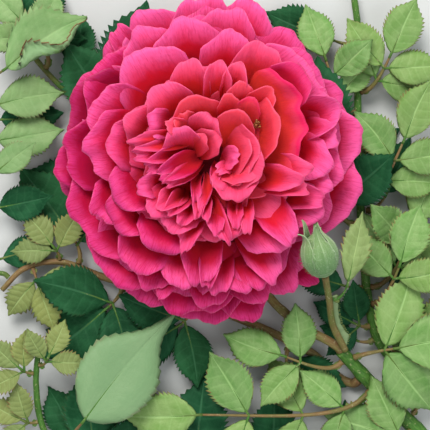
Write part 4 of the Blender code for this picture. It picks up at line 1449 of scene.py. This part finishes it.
HAIRS = 900
HAIR_LENGTH = 1.3
bud = Pile()
egg = [
    (0, 0), (1.7, 0.1), (3.3, 0.9), (4.5, 2.2), (5.1, 3.6), (5.5, 5.0),
    (BUD_RADIUS, 7.5), (5.8, 10.0), (4.8, 13.0), (2.8, 15.4), (0, BUD_LENGTH),
]
turned(bud, egg, on_stalk, 11.0, 0.1, 0.03)
widths = (2.6, 4.0, 4.5, 4.1, 3.0, 1.7, 0.8, 0.1)
for k in range(5):
    far = 17.4 + 0.9 * (k * 2 % 5)
    stray = 2.2 * (k * 3 % 5) / 4
    spine = [
        (4.6, 2.4), (6.0, 4.8), (6.7, 7.6), (6.5, 10.6), (5.2, 13.4),
        (3.4 + 0.3 * stray, 15.6), (2.4 + stray, far), (2.8 + 1.8 * stray, far + 1.2),
    ]
    sepal(bud, on_stalk, 2 * math.pi * (k + 0.13) / 5, spine, widths, 20.0 + k, 0.42, 0.05)


def egg_skin(share):
    """Radius and height of the bud's skin, a share of the way up."""
    return float(np.interp(share, (0, 0.15, 0.45, 0.7, 1), (3.5, 5.4, 6.8, 5.6, 2.4))), 1.2 + share * 14.8


hairs(bud, on_stalk, HAIRS, random.Random(HAIR_SEED), egg_skin, HAIR_LENGTH)
bud.build("bud_and_sepals", bud_look, "bud_green", ["bud"])

# Floor, light and camera

bpy.ops.object.select_all(action="DESELECT")
bpy.ops.mesh.primitive_plane_add(size=4, location=(0, 0, 0))
floor = bpy.context.object
floor.name = "floor"
floor.data.materials.append(floor_finish())


def lamp(name, place, size, power, color):
    light = bpy.data.lights.new(name, "AREA")
    light.shape = "DISK"
    light.size = size
    light.energy = power
    light.color = color
    made = bpy.data.objects.new(name, light)
    made.location = place
    made.rotation_euler = (-Vector(place)).to_track_quat("-Z", "Y").to_euler()
    bpy.context.scene.collection.objects.link(made)


lamp("key", (-0.3, 0.85, 1.05), 0.8, 22.5, (1, 0.98, 0.95))
lamp("fill", (0.7, -0.5, 1.1), 1.2, 7, (0.95, 0.98, 1))
world = bpy.data.worlds.new("soft room")
world.use_nodes = True
world.node_tree.nodes["Background"].inputs[0].default_value = (0.95, 0.98, 1, 1)
world.node_tree.nodes["Background"].inputs[1].default_value = 0.57
bpy.context.scene.world = world
bpy.context.scene.view_settings.view_transform = "Standard"

camera = bpy.data.cameras.new("eye")
camera.sensor_width = 36
camera.lens = camera.sensor_width * (EYE - FOCUS) / (UNIT * GRID_WIDTH)
eye = bpy.data.objects.new("eye", camera)
eye.location = (-ORIGIN_X * MM, -ORIGIN_Y * MM, EYE * MM)
bpy.context.scene.collection.objects.link(eye)
bpy.context.scene.camera = eye
